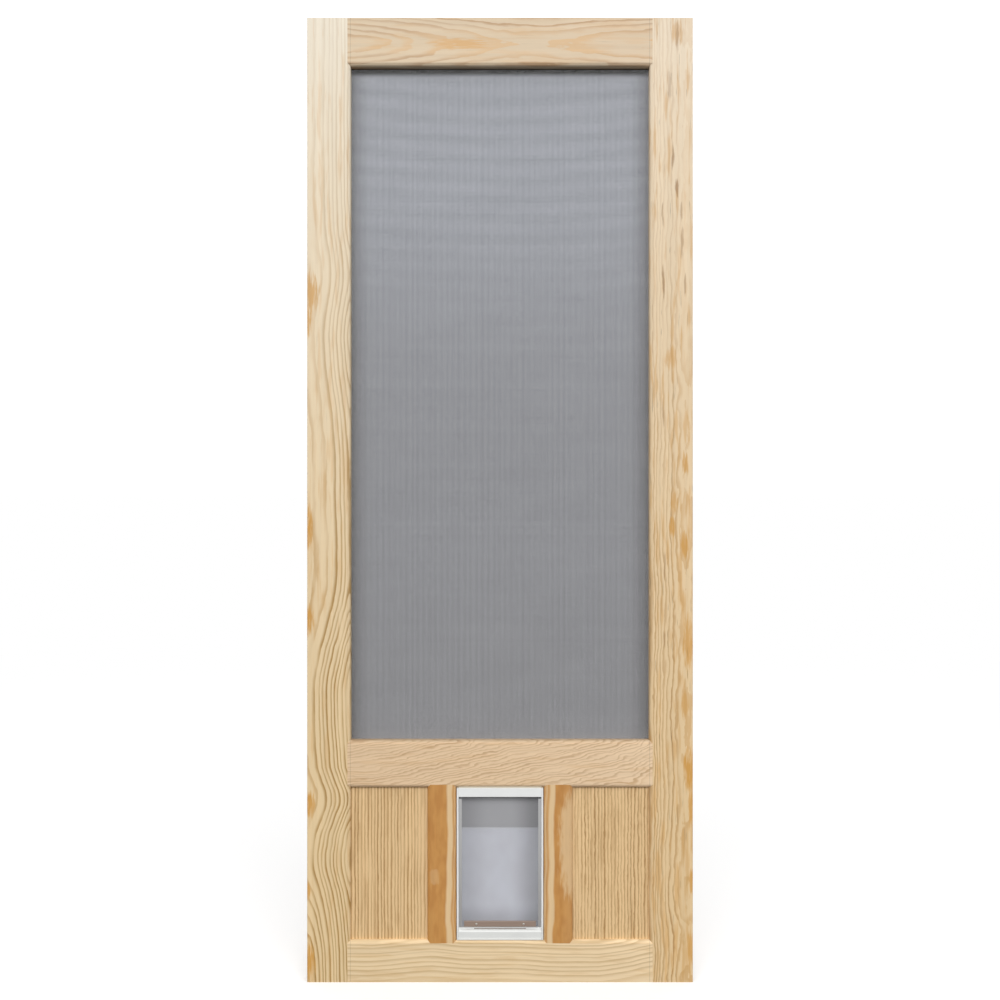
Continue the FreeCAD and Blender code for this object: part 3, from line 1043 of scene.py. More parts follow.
def dress(node: str, material: bpy.types.Material) -> None:
    """Gives a solid its finish.

    Args:
        node: The solid's node.
        material: The finish.
    """
    solid = bpy.data.objects[node]
    for slot in solid.material_slots:
        slot.material = material
    LOG.info("dressed %s with %s", node, material.name)


def settle(piece: bpy.types.Object, body: str) -> None:
    """Puts a new piece on the body that carries it.

    Args:
        piece: The piece, already in place.
        body: The body that it moves with.
    """
    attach(piece, body)
    LOG.info("made %s with %d faces on %s", piece.name, len(piece.data.polygons), body)


def guide_lines(name: str, lines: Sequence[tuple[Vector, Vector]]) -> bpy.types.Mesh:
    """Makes a mesh of straight edges for a shape to follow.

    Args:
        name: The mesh's name.
        lines: The two ends of each edge.

    Returns:
        The mesh.
    """
    mesh = bpy.data.meshes.new(name)
    ends = [end for line in lines for end in line]
    mesh.from_pydata(ends, [(2 * n, 2 * n + 1) for n in range(len(lines))], [])
    return mesh


def stud_row() -> ShapeNodes:
    """Builds the tree that sets low round heads along straight lines.

    Returns:
        The tree, with inputs for the heads' spacing, radius and height.
    """
    nodes = ShapeNodes("stud_row", {
        "Spacing": "NodeSocketFloat",
        "Radius": "NodeSocketFloat",
        "Height": "NodeSocketFloat",
    })
    path = nodes.field("GeometryNodeMeshToCurve", sockets={"Mesh": nodes.input("Guide")})
    points = nodes.field(
        "GeometryNodeResampleCurve", {"mode": "LENGTH"}, {"Curve": path, "Length": nodes.input("Spacing")}
    )
    head = nodes.field("GeometryNodeMeshUVSphere", sockets={
        "Segments": STUD_SEGMENTS, "Rings": STUD_RINGS, "Radius": 1.0,
    })
    smooth = nodes.field("GeometryNodeSetShadeSmooth", sockets={"Geometry": head})
    radius = nodes.input("Radius")
    size = nodes.field("ShaderNodeCombineXYZ", sockets={"X": radius, "Y": nodes.input("Height"), "Z": radius})
    nodes.close(nodes.field(
        "GeometryNodeInstanceOnPoints", sockets={"Points": points, "Instance": smooth, "Scale": size}
    ))
    return nodes


@dataclass
class TimberFrame:
    """The stiles, rails, mullions and panels, each sawn from its own board."""

    shoulder_length: float = 315.4 * MM
    amber: Colour = paint(208, 156, 82)
    outer_islands: tuple[Flare, ...] = (
        Flare(0.714, -45 * MM, 46 * MM, 25 * MM, 0.75),
        Flare(0.690, -47 * MM, 46 * MM, 11 * MM, 0.8),
        Flare(0.470, -47 * MM, 48 * MM, 14 * MM),
        Flare(0.375, -44 * MM, 34 * MM, 11 * MM),
        Flare(0.184, -46 * MM, 26 * MM, 17 * MM),
        Flare(0.094, -48 * MM, 20 * MM, 10 * MM),
        Flare(0.021, -46 * MM, 40 * MM, 18 * MM),
    )
    latch_islands: tuple[Flare, ...] = (
        Flare(0.985, 12 * MM, 26 * MM, 13 * MM, 0.45),
        Flare(0.648, 0.0, 26 * MM, 14 * MM, 0.45),
        Flare(0.538, 29 * MM, 22 * MM, 7 * MM, 0.8),
        Flare(0.498, 6 * MM, 30 * MM, 7 * MM, 0.7),
        Flare(0.472, 4 * MM, 22 * MM, 7 * MM, 0.9),
        Flare(0.452, 27 * MM, 30 * MM, 8 * MM, 0.9),
        Flare(0.350, 35 * MM, 58 * MM, 11 * MM, 0.8),
        Flare(0.288, 28 * MM, 30 * MM, 7 * MM, 0.6),
        Flare(0.220, 38 * MM, 46 * MM, 11 * MM),
        Flare(0.182, 42 * MM, 38 * MM, 6 * MM, 0.9),
        Flare(0.106, 43 * MM, 28 * MM, 6 * MM, 0.9),
        Flare(0.036, 41 * MM, 34 * MM, 7 * MM, 0.8),
    )
    latch_pitch: tuple[Flare, ...] = (
        Flare(0.980, 13 * MM, 32 * MM, 3.4 * MM, 0.40),
        Flare(0.929, -4 * MM, 36 * MM, 4.0 * MM, 0.34),
        Flare(0.855, 3 * MM, 30 * MM, 2.8 * MM, 0.55),
        Flare(0.823, 12 * MM, 20 * MM, 3.6 * MM, 0.60),
        Flare(0.796, -17 * MM, 24 * MM, 3.2 * MM, 0.45),
        Flare(0.798, 20 * MM, 20 * MM, 2.8 * MM, 0.45),
        Flare(0.767, 23 * MM, 34 * MM, 3.2 * MM, 0.42),
        Flare(0.726, -16 * MM, 34 * MM, 2.8 * MM, 0.60),
        Flare(0.724, 29 * MM, 24 * MM, 2.8 * MM, 0.45),
        Flare(0.590, -18 * MM, 36 * MM, 2.6 * MM, 0.35),
        Flare(0.432, -15 * MM, 30 * MM, 2.6 * MM, 0.40),
        Flare(0.355, -15 * MM, 20 * MM, 3.0 * MM, 0.40),
    )

    def dress(self) -> None:
        """Gives every board its finish."""
        for node, board in self.boards().items():
            dress(node, board.material(node))

    def boards(self) -> dict[str, Union[PineBoard, AmberStrip]]:
        """Chooses a board for each node.

        Returns:
            The board of each node.
        """
        return {**self.stiles(), **self.rails(), **self.panels(), **self.mullions()}

    def stiles(self) -> dict[str, PineBoard]:
        """Chooses the two stiles: one with strong bends below, one straighter with a streaky outer edge.

        Returns:
            The board of each stile.
        """
        hinge = PineBoard(
            "pine_hinge_stile", Grain.UPRIGHT,
            pale=(paint(228, 201, 156), paint(245, 234, 214)),
            line=paint(164, 124, 60), flat_line=paint(184, 138, 72), flame=self.amber,
            ring=7.0 * MM, heart=(-44 * MM, 30 * MM),
            sways=(
                (0.0, -0.004), (0.075, -0.008), (0.096, -0.012), (0.11, -0.019), (0.125, -0.023),
                (0.14, -0.021), (0.158, -0.014), (0.178, 0.001), (0.191, 0.006), (0.204, -0.001),
                (0.222, -0.014), (0.3, -0.021), (0.328, -0.014), (0.353, -0.002), (0.384, 0.014),
                (0.402, 0.022), (0.42, 0.026), (0.45, 0.027), (0.5, 0.024), (0.558, 0.022),
                (0.615, 0.01), (0.66, 0.001), (0.69, 0.003), (0.718, 0.012), (0.741, 0.014),
                (0.77, 0.006), (0.812, 0.0), (1.0, 0.0),
            ),
            dips=((0.0, -0.026), (0.04, -0.021), (0.085, -0.006), (0.12, 0.0), (1.0, 0.0)),
            ripple=(2.0 * MM, 110 * MM), wobble=(0.8 * MM, 30 * MM),
            strength=((0.0, 1.0), (0.42, 1.0), (0.62, 0.55), (1.0, 0.22)),
            flares=self.outer_islands, narrowing=1.6, seed=3.0,
        )
        latch = PineBoard(
            "pine_latch_stile", Grain.UPRIGHT,
            pale=(paint(227, 198, 153), paint(242, 225, 200)),
            line=paint(174, 130, 74), flat_line=paint(200, 154, 92), flame=self.amber,
            ring=6.0 * MM, heart=(34 * MM, 26 * MM),
            dips=(
                (0.0, 0.0), (0.05, 0.003), (0.09, -0.003), (0.2, 0.003), (0.28, 0.0), (0.38, 0.005),
                (0.47, 0.0), (0.56, 0.003), (0.7, -0.001), (0.85, 0.002), (1.0, 0.0),
            ),
            ripple=(5.0 * MM, 70 * MM), wobble=(1.4 * MM, 20 * MM),
            strength=((0.0, 0.9), (0.5, 0.7), (0.75, 0.3), (1.0, 0.3)),
            flares=self.latch_islands, pitch_marks=self.latch_pitch, fleck=0.30, honey=0.45, seed=17.0,
        )
        return {"hinge_stile": hinge, "latch_stile": latch}

    def rails(self) -> dict[str, PineBoard]:
        """Chooses the three rails: a pinkish flat-sawn top, a wavy middle and a gently swelling bottom.

        Returns:
            The board of each rail.
        """
        top = PineBoard(
            "pine_top_rail", Grain.LEVEL,
            pale=(paint(226, 205, 175), paint(227, 205, 176)),
            line=paint(188, 148, 108), flat_line=paint(226, 184, 132), flame=paint(226, 184, 132),
            ring=8.5 * MM, heart=(-5 * MM, 16 * MM),
            dips=(
                (0.0, -0.002), (0.15, 0.006), (0.3, 0.017), (0.45, 0.027), (0.6, 0.031), (0.8, 0.026),
                (1.0, 0.019),
            ),
            ripple=(4.0 * MM, 90 * MM), wobble=(1.4 * MM, 26 * MM), strength=((0.0, 0.70), (1.0, 0.95)),
            flares=(Flare(0.37, -4 * MM, 60 * MM, 12 * MM),), shoulder=self.shoulder_length, seed=5.0,
        )
        middle = PineBoard(
            "pine_middle_rail", Grain.LEVEL,
            pale=(paint(225, 196, 160), paint(234, 206, 171)),
            line=paint(176, 138, 96), flat_line=paint(206, 165, 112), flame=paint(206, 165, 112),
            ring=6.0 * MM, heart=(-120 * MM, 30 * MM),
            sways=(
                (0.0, -0.070), (0.2, -0.050), (0.4, -0.020), (0.5, -0.005), (0.6, 0.010), (0.75, 0.030),
                (0.88, 0.050), (0.94, 0.062), (1.0, 0.085),
            ),
            ripple=(9.0 * MM, 60 * MM), wobble=(1.8 * MM, 18 * MM), strength=((0.0, 0.62), (1.0, 0.70)),
            # The middle rail has painted shade along its top edge, which dulls its lit bevel.
            shoulder=self.shoulder_length, dust_and_shade=0.25, seed=11.0,
        )
        bottom = PineBoard(
            "pine_bottom_rail", Grain.LEVEL,
            pale=(paint(232, 207, 167), paint(240, 214, 174)),
            line=paint(172, 138, 84), flat_line=paint(204, 164, 104), flame=paint(204, 164, 104),
            ring=7.5 * MM, heart=(-58 * MM, 26 * MM),
            sways=(
                (0.0, -0.003), (0.12, -0.002), (0.27, 0.006), (0.38, 0.001), (0.55, 0.0), (0.7, -0.004),
                (0.82, -0.004), (0.93, 0.006), (1.0, 0.016),
            ),
            ripple=(2.0 * MM, 120 * MM), strength=((0.0, 0.55), (1.0, 0.55)),
            shoulder=self.shoulder_length, seed=23.0,
        )
        return {"top_rail": top, "middle_rail": middle, "bottom_rail": bottom}

    def panels(self) -> dict[str, PineBoard]:
        """Chooses the two panels, sawn across the rings so that the lines are straight and close.

        Returns:
            The board of each panel.
        """
        ground, line = paint(228, 195, 147), paint(156, 114, 60)
        left = PineBoard(
            "pine_left_panel", Grain.UPRIGHT,
            pale=(ground, ground), line=line, flat_line=line, flame=line,
            ring=7.0 * MM, heart=(-400 * MM, 0.0),
            ripple=(2.2 * MM, 90 * MM), wobble=(1.0 * MM, 16 * MM), unevenness=1.0, seed=31.0,
        )
        right = replace(
            left, name="pine_right_panel", heart=(420 * MM, 0.0),
            ripple=(3.6 * MM, 70 * MM), wobble=(1.9 * MM, 15 * MM), unevenness=1.2, seed=41.0,
        )
        return {"left_panel": left, "right_panel": right}

    def mullions(self) -> dict[str, AmberStrip]:
        """Chooses the two mullions, mostly amber latewood with a pale band beside the pet frame.

        Returns:
            The strip of each mullion.
        """
        left = AmberStrip(
            "amber_left_mullion",
            amber=paint(199, 145, 80), deep_amber=paint(188, 132, 70), pale=paint(224, 194, 150),
            bands=(
                (0.0, 1.0), (0.64, 1.0), (0.71, 0.05), (0.83, 0.1), (0.89, 0.85), (0.93, 0.4), (0.97, 0.9),
                (1.0, 0.7),
            ),
            wander=0.24, spots=(PaleSpot(0.28, 0.42, 0.16, 0.05, 0.25),), seed=2.0,
        )
        right = replace(
            left, name="amber_right_mullion",
            bands=(
                (0.0, 0.8), (0.05, 0.3), (0.12, 0.85), (0.18, 0.15), (0.32, 0.05), (0.38, 1.0), (0.7, 0.95),
                (1.0, 0.9),
            ),
            spots=(PaleSpot(0.98, 0.62, 0.45, 0.34, 0.7),), seed=8.0,
        )
        return {"left_mullion": left, "right_mullion": right}


@dataclass
class ScreenPanel:
    """The insect screen and the beads that hold it in its rebate."""

    pitch: float = 1.43 * MM
    yarn_width: float = 1.08 * MM
    yarn_thickness: float = 0.24 * MM
    yarn_sides: int = 6
    brad_spacing: float = 150 * MM
    brad_radius: float = 1.0 * MM
    brad_height: float = 0.25 * MM
    brad_inset: float = 25 * MM
    bead_seed: float = 50.0
    bead_nodes: tuple[str, ...] = (
        "screen_bead_left", "screen_bead_right", "screen_bead_bottom", "screen_bead_top",
    )
    held_by: tuple[str, ...] = ("hinge_stile", "latch_stile", "top_rail", "middle_rail")

    def build(self, studs: ShapeNodes) -> None:
        """Makes the cloth and the brads, and dresses the beads.

        Args:
            studs: The tree that sets round heads along lines.
        """
        self.cloth()
        for place, node in enumerate(self.bead_nodes):
            dress(node, self.bead_finish(node, self.bead_seed + place))
        steel = BrightSteel("brad_steel", body=paint(150, 146, 138), worn=paint(112, 106, 98)).material()
        brads = studs.make("screen_brads", guide_lines("brad_lines", self.brad_lines()), {
            "Spacing": self.brad_spacing,
            "Radius": self.brad_radius,
            "Height": self.brad_height,
            "Finish": steel,
        })
        settle(brads, DOOR)

    def cloth(self) -> None:
        low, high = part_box("insect_screen")
        width, height = high.x - low.x, high.z - low.z
        yarn = ScreenYarn(
            "screen_yarn",
            low=(paint(104, 104, 107), paint(150, 150, 153)),
            # The high colours, paler and bluer, are painted light from above.
            high=(paint(134, 137, 145), paint(180, 183, 191)),
            pitch=self.pitch,
        )
        cloth = self.weave().make("screen_cloth", bpy.data.meshes.new("cloth_guide"), {
            "Width": width,
            "Height": height,
            "Pitch": self.pitch,
            "Yarn Width": self.yarn_width,
            "Yarn Thickness": self.yarn_thickness,
            "Corner": Vector((low.x, (low.y + high.y) / 2, low.z)),
            "Finish": yarn.material("insect_screen"),
        })
        settle(cloth, DOOR)
        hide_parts("insect_screen")

    def weave(self) -> ShapeNodes:
        """Builds the tree that lays yarns up and across a rectangle.

        Returns:
            The tree, with inputs for the rectangle, the pitch and the yarn.
        """
        sizes = ("Width", "Height", "Pitch", "Yarn Width", "Yarn Thickness")
        inputs = {**{size: "NodeSocketFloat" for size in sizes}, "Corner": "NodeSocketVector"}
        nodes = ShapeNodes("weave", inputs)
        width, height, pitch, yarn, thick = (nodes.input(size) for size in sizes)
        rod = nodes.field("GeometryNodeMeshCylinder", {"fill_type": "NGON"}, {
            "Vertices": self.yarn_sides, "Side Segments": 1, "Fill Segments": 1, "Radius": 0.5, "Depth": 1.0,
        })
        layers = []
        for grain in Grain:
            upright = grain is Grain.UPRIGHT
            run, across = (height, width) if upright else (width, height)
            aside = "X" if upright else "Z"
            first = {aside: pitch * 0.5, "Y": thick * (0.5 if upright else -0.5), grain.value: run * 0.5}
            points = nodes.field("GeometryNodeMeshLine", {"mode": "OFFSET"}, {
                "Count": nodes.math("FLOOR", across / pitch),
                "Start Location": nodes.field("ShaderNodeCombineXYZ", sockets=first),
                "Offset": nodes.field("ShaderNodeCombineXYZ", sockets={aside: pitch}),
            })
            layers.append(nodes.field("GeometryNodeInstanceOnPoints", sockets={
                "Points": points,
                "Instance": rod,
                "Rotation": (0.0, 0.0 if upright else math.pi / 2, 0.0),
                "Scale": nodes.field("ShaderNodeCombineXYZ", sockets={"X": yarn, "Y": thick, "Z": run}),
            }))
        both = nodes.node("GeometryNodeJoinGeometry")
        for layer in layers:
            nodes.tree.links.new(layer.socket, both.inputs[0])
        nodes.close(nodes.field("GeometryNodeTransform", sockets={
            "Geometry": Field(nodes, both.outputs[0]),
            "Translation": nodes.input("Corner"),
        }))
        return nodes

    def bead_finish(self, node: str, seed: float) -> bpy.types.Material:
        """Chooses the board that a bead was run from.

        Args:
            node: The bead's node.
            seed: What sets this bead's pattern apart.

        Returns:
            The bead's finish.
        """
        low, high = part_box(node)
        grain = Grain.UPRIGHT if high.z - low.z > high.x - low.x else Grain.LEVEL
        ground, flame = paint(228, 203, 164), paint(206, 165, 112)
        board = PineBoard(
            f"pine_{node}", grain,
            pale=(ground, ground), line=paint(196, 160, 112), flat_line=flame, flame=flame,
            ring=5 * MM, heart=(-90 * MM, 60 * MM),
            ripple=(2.0 * MM, 140 * MM), strength=((0.0, 0.7), (1.0, 0.7)), seed=seed,
        )
        return board.material(node)

    def brad_lines(self) -> list[tuple[Vector, Vector]]:
        """Finds the line along the crown of each bead that its brads follow.

        Returns:
            The two ends of each line.
        """
        lines = []
        for node in self.bead_nodes:
            low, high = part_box(node)
            middle = (low + high) / 2
            first = Vector((middle.x, high.y, middle.z))
            last = first.copy()
            axis = 2 if high.z - low.z > high.x - low.x else 0
            first[axis] = low[axis] + self.brad_inset
            last[axis] = high[axis] - self.brad_inset
            lines.append((first, last))
        return lines


@dataclass
class PetFrame:
    """The white frame round the pet flap, with the magnet in its sill."""

    white_nodes: tuple[str, ...] = (
        "pet_frame_left_jamb", "pet_frame_right_jamb", "pet_frame_head", "pet_frame_sill",
    )
    lip_height: float = 408.3 * MM
    tread_height: float = 112 * MM

    def dress(self) -> None:
        """Gives the frame its white plastic and the magnet its rubber."""
        # The top rim's warm grey is painted shade from the middle rail, tinted like light off the wood.
        plastic = WhitePlastic(
            "frame_plastic",
            body=paint(237, 238, 237), painted_lip_shade=paint(216, 207, 188), trodden=paint(226, 227, 224),
            lip_height=self.lip_height, tread_height=self.tread_height,
        ).material()
        for node in self.white_nodes:
            dress(node, plastic)
        # The magnet's pale patches are dusty specks on the rubber, with no painted shade.
        rubber = MagnetRubber("magnet_rubber", body=paint(132, 122, 114), dust_and_shade=paint(168, 160, 152))
        dress("sill_magnet", rubber.material())


@dataclass
class PetFlap:
    """The vinyl flap: one sheet folded over its rod, with a strip clamped on its lower edge."""

    leaf_thickness: float = 1.45 * MM
    hem_gap: float = 0.1 * MM
    hem_drop: float = 61 * MM
    fold_rise: float = 7 * MM
    flare_reach: float = 0.35
    flare_rise: float = 0.42
    bow: float = 1.4 * MM
    step: float = 9 * MM
    columns: int = 18
    loop_steps: int = 14
    crease: float = math.radians(40)
    rivet_reach: float = 50 * MM
    rivet_radius: float = 2.4 * MM
    rivet_height: float = 1.1 * MM

    def build(self, studs: ShapeNodes, axis_height: float) -> None:
        """Makes the sheet and the rivets, and dresses the rod and the strips.

        Args:
            studs: The tree that sets round heads along lines.
            axis_height: The height of the rod's axis.
        """
        self.sheet(axis_height)
        rod = BrightSteel("rod_steel", body=paint(196, 196, 198), worn=paint(150, 150, 152))
        dress("flap_rod", rod.material())
        strip = StripPlastic("strip_plastic", body=paint(158, 138, 125), line=paint(134, 115, 102)).material()
        bright = BrightSteel("rivet_steel", body=paint(226, 222, 216), worn=paint(190, 184, 176)).material()
        lines = []
        for node, front in (("flap_strip_front", True), ("flap_strip_back", False)):
            dress(node, strip)
            low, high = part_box(node)
            middle = (low + high) / 2
            face = low.y if front else high.y
            lines.append(tuple(
                Vector((middle.x + side * self.rivet_reach, face, middle.z)) for side in (-1, 1)
            ))
        rivets = studs.make("flap_rivets", guide_lines("rivet_lines", lines), {
            "Spacing": 2 * self.rivet_reach,
            "Radius": self.rivet_radius,
            "Height": self.rivet_height,
            "Finish": bright,
        })
        settle(rivets, FLAP)

    def fold(self, axis_height: float) -> list[Size]:
        """Follows the middle of the sheet from its lower edge over the rod to the end of its hem.

        Args:
            axis_height: The height of the rod's axis.

        Returns:
            The depth, the height and half the thickness at each station.
        """
        low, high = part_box("flap_sheet")
        hem = self.hem_height()
        half = self.leaf_thickness / 2
        loop = high.z - axis_height - half
        leaf = half + self.hem_gap / 2
        rest = axis_height - self.fold_rise
        reach = hem - self.fold_rise - low.z
        count = math.ceil(reach / self.step)
        single = []
        for n in range(count + 1):
            share = n / count
            single.append((self.bow * math.sin(math.pi * share), low.z + share * reach, self.single_half()))
        rows = math.ceil((rest - hem) / self.step)
        front = [(-leaf, hem + n / rows * (rest - hem), half) for n in range(rows + 1)]
        flare = (-leaf - self.flare_reach * (loop - leaf), rest + self.flare_rise * self.fold_rise, half)
        rising = [*front, flare]
        falling = [(-depth, height, thick) for depth, height, thick in reversed(rising)]
        turns = [math.pi * (1 - n / self.loop_steps) for n in range(self.loop_steps + 1)]
        arc = [(loop * math.cos(turn), axis_height + loop * math.sin(turn), half) for turn in turns]
        return single + rising + arc + falling

    def hem_height(self) -> float:
        """Gives the height of the hem's welded edge, by its drop from the underside of the rod."""
        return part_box("flap_rod")[0].z - self.hem_drop

    @staticmethod
    def single_half() -> float:
        """Gives half the thickness of the single sheet, which fills the room between the strips."""
        return (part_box("flap_strip_back")[0].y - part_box("flap_strip_front")[1].y) / 2

    def sheet(self, axis_height: float) -> None:
        """Makes the folded sheet as a closed ribbon and lets it stand for its solid.

        Args:
            axis_height: The height of the rod's axis.
        """
        stations = self.fold(axis_height)
        mesh = bpy.data.meshes.new("flap_vinyl")
        mesh.from_pydata(self.ribbon_points(stations), [], self.ribbon_faces(len(stations) - 1))
        mesh.polygons.foreach_set("use_smooth", [True] * len(mesh.polygons))
        mesh.set_sharp_from_angle(angle=self.crease)
        vinyl = SmokedVinyl(
            "smoked_vinyl",
            tint=paint(204, 205, 213), haze=paint(211, 213, 222),
            hem=paint(165, 165, 168), weld=paint(220, 222, 226),
            hem_height=self.hem_height(), cover=0.62, hem_cover=0.92,
        )
        mesh.materials.append(vinyl.material("flap_sheet"))
        flap = stand("flap_vinyl", mesh)
        settle(flap, FLAP)
        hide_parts("flap_sheet")

    def ribbon_points(self, stations: Sequence[Size]) -> list[Size]:
        """Lays two points, one on each side of the sheet, at every column of every station.

        Args:
            stations: The depth, the height and half the thickness at each station.

        Returns:
            The points, station by station.
        """
        low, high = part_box("flap_sheet")
        last = len(stations) - 1
        points = []
        for n, (depth, height, half) in enumerate(stations):
            before, after = stations[max(n - 1, 0)], stations[min(n + 1, last)]
            run = Vector((after[0] - before[0], after[1] - before[1])).normalized()
            for column in range(self.columns + 1):
                x = low.x + column / self.columns * (high.x - low.x)
                for side in (1, -1):
                    points.append((x, depth - side * half * run.y, height + side * half * run.x))
        return points

    def ribbon_faces(self, rows: int) -> list[tuple[int, ...]]:
        """Closes the sheet's two sides, its two long edges and its two ends with faces.

        Args:
            rows: The number of rows of faces between the first station and the last.

        Returns:
            The corners of each face, by number.
        """
        stride = 2 * (self.columns + 1)
        faces = []
        for n in range(rows):
            for column in range(self.columns):
                first = n * stride + 2 * column
                above = first + stride
                faces.append((first, first + 2, above + 2, above))
                faces.append((first + 1, above + 1, above + 3, first + 3))
        for n in range(rows):
            for column, flip in ((0, False), (self.columns, True)):
                first = n * stride + 2 * column
                above = first + stride
                rim = (first, above, above + 1, first + 1)
                faces.append(rim[::-1] if flip else rim)
        for n, flip in ((0, False), (rows, True)):
            for column in range(self.columns):
                first = n * stride + 2 * column
                rim = (first, first + 1, first + 3, first + 2)
                faces.append(rim[::-1] if flip else rim)
        return faces


@dataclass(frozen=True)
class Lamp:
    """A broad soft light: its place, the height that it faces, its width and height, its power in watts."""

    name: str
    place: Size
    aim_height: float
    size: Pair
    power: float
    lights_floor: bool = True


@dataclass
class Studio:
    """A plain white studio: a pale floor, a broad light in front, a weaker one behind and a low reflector."""

    camera_distance: float = 2.5
    sensor: float = 36.0
    leaf_pixels: float = 964.5
    floor_radius: float = 14.0
    floor_sides: int = 96
    floor_shade: float = 0.9
    floor_roughness: float = 0.9
    # Painted glow that lifts the floor near the leaf, and the reach over which the floor fades into the
    # backdrop.
    near_glow: float = 0.16
    glow_reach: Pair = (1.8, 6.0)
    # A painted shadow behind the leaf: half its width, its start at the foot, its reach and its shade.
    shadow_half: Pair = (0.2, 0.46)
    shadow_foot: Pair = (-0.012, 0.03)
    shadow_reach: Pair = (1.6, 2.6)
    shadow_shade: float = 0.47
    horizon: Pair = (-0.15, 0.05)
    sky_light: float = 0.8
    horizon_light: float = 0.6
    ground_light: float = 0.08
    backdrop: float = 1.0
    backdrop_rise: float = 0.6
    lamps: tuple[Lamp, ...] = (
        Lamp("key_light", (0.9, -13.0, 10.4), 1.0, (30.0, 7.0), 2350.0),
        Lamp("back_light", (0.2, 10.0, 9.0), 1.0, (14.0, 5.0), 700.0, lights_floor=False),
        Lamp("low_reflector", (0.41, -1.7, 0.1), 0.35, (2.4, 1.0), 4.0, lights_floor=False),
    )

    def build(self) -> None:
        """Sets up the floor, the light and the camera."""
        low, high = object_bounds()
        middle = (low + high) / 2
        floor = self.floor(middle, low.z)
        for lamp in self.lamps:
            self.light(lamp, middle, floor)
        self.sky()
        self.camera(middle, low.y, high.z - low.z)
        bpy.context.scene.view_settings.view_transform = "Standard"

    def floor(self, middle: Vector, height: float) -> bpy.types.Object:
        """Lays a round pale floor with a painted glow that fades it into the white backdrop and a painted
        shadow behind the leaf.

        Args:
            middle: The middle of the leaf.
            height: The floor's height.

        Returns:
            The floor.
        """
        rim = [math.tau * n / self.floor_sides for n in range(self.floor_sides)]
        radius = self.floor_radius
        points = [(radius * math.cos(turn), radius * math.sin(turn), height) for turn in rim]
        mesh = bpy.data.meshes.new("floor")
        mesh.from_pydata(points, [], [tuple(range(self.floor_sides))])
        nodes = FinishNodes("floor_paint")
        x, y, _ = nodes.place()
        side = x - middle.x
        far = nodes.rise(nodes.math("SQRT", side * side + y * y), *self.glow_reach)
        # Painted shadow of the leaf, where the floor has no glow.
        within = 1 - nodes.rise(abs(side), *self.shadow_half)
        shadow = within * nodes.rise(y, *self.shadow_foot) * (1 - nodes.rise(y, *self.shadow_reach))
        shade = nodes.blend(shadow, grey(self.floor_shade), grey(self.shadow_shade))
        glow = nodes.blend(shadow, grey(self.near_glow), grey(0.0))
        mesh.materials.append(nodes.surface({
            "Base Color": nodes.blend(far, shade, grey(0.0)),
            "Roughness": self.floor_roughness,
            "Specular IOR Level": 0.0,
            "Emission Color": nodes.blend(far, glow, grey(self.backdrop)),
            "Emission Strength": 1.0,
        }))
        floor = stand("floor", mesh)
        floor.visible_diffuse = False
        floor.visible_glossy = False
        floor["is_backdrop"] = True
        return floor

    @staticmethod
    def light(lamp: Lamp, middle: Vector, floor: bpy.types.Object) -> None:
        """Hangs a broad soft light.

        Args:
            lamp: The light.
            middle: The middle of the leaf, which the light is turned to.
            floor: The floor, which some lights leave alone.
        """
        source = bpy.data.lights.new(lamp.name, "AREA")
        source.shape = "RECTANGLE"
        source.size, source.size_y = lamp.size
        source.energy = lamp.power
        holder = stand(lamp.name, source)
        holder.location = lamp.place
        aim = Vector((middle.x, middle.y, lamp.aim_height))
        holder.rotation_euler = (aim - holder.location).to_track_quat("-Z", "Y").to_euler()
        holder.visible_camera = False
        if not lamp.lights_floor:
            spared = bpy.data.collections.new(f"{lamp.name}_spares")
            spared.objects.link(floor)
            spared.collection_objects[0].light_linking.link_state = "EXCLUDE"
            holder.light_linking.receiver_collection = spared

    def sky(self) -> None:
        """Fills in with soft light, strongest from straight above, in front of a white backdrop."""
        world = bpy.data.worlds.new("studio")
        world.use_nodes = True
        bpy.context.scene.world = world
        nodes = NodeBench(world.node_tree)
        way = nodes.field("ShaderNodeTexCoord", output="Generated")
        up = nodes.field("ShaderNodeSeparateXYZ", sockets={"Vector": way}, output="Z")
        below = nodes.field("ShaderNodeMapRange", {"interpolation_type": "SMOOTHSTEP"}, {
            "Value": up,
            "From Min": self.horizon[0],
            "From Max": self.horizon[1],
            "To Min": self.ground_light,
            "To Max": self.horizon_light,
        })
        above = nodes.math("MAXIMUM", up, 0.0)
        filling = below + above * (self.sky_light - self.horizon_light)
        direct = nodes.field("ShaderNodeLightPath", output="Is Camera Ray")
        glow = nodes.field("ShaderNodeBackground", sockets={
            "Color": grey(1.0),
            "Strength": direct * (above * self.backdrop_rise + self.backdrop) + (1 - direct) * filling,
        })
        nodes.node("ShaderNodeOutputWorld", sockets={"Surface": glow})

    def camera(self, middle: Vector, face: float, leaf_height: float) -> None:
        """Stands the camera straight in front of the leaf.

        Args:
            middle: The middle of the leaf.
            face: The depth of the leaf's front face.
            leaf_height: The leaf's height, which fills a known part of the picture.
        """
        view = leaf_height / self.leaf_pixels * PICTURE_PIXELS
        lens = bpy.data.cameras.new("camera")
        lens.sensor_width = self.sensor
        lens.lens = self.sensor * self.camera_distance / view
        holder = stand("camera", lens)
        holder.location = (middle.x, face - self.camera_distance, middle.z)
        holder.rotation_euler = (math.pi / 2, 0.0, 0.0)
        bpy.context.scene.camera = holder


def main() -> None:
    """Loads the solids and builds each sub-assembly in order."""
    logging.basicConfig(level=logging.INFO, format="%(name)s: %(message)s")
    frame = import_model()
    swing = next(joint for joint in frame["joints"] if joint["name"] == "flap_swing")
    studs = stud_row()
    TimberFrame().dress()
    ScreenPanel().build(studs)
    PetFrame().dress()
    PetFlap().build(studs, swing["pos_m"][2])
    Studio().build()


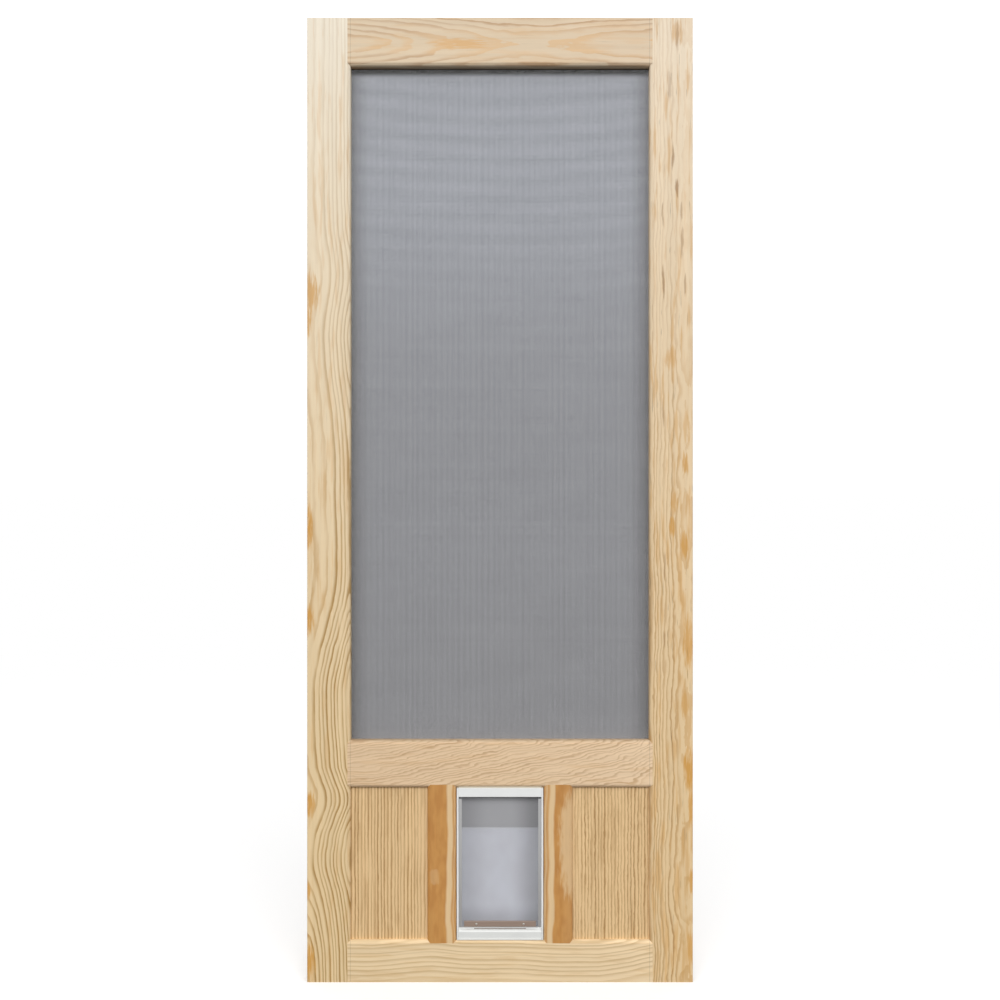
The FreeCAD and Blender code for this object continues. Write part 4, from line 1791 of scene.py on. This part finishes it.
if __name__ == "__main__":
    main()
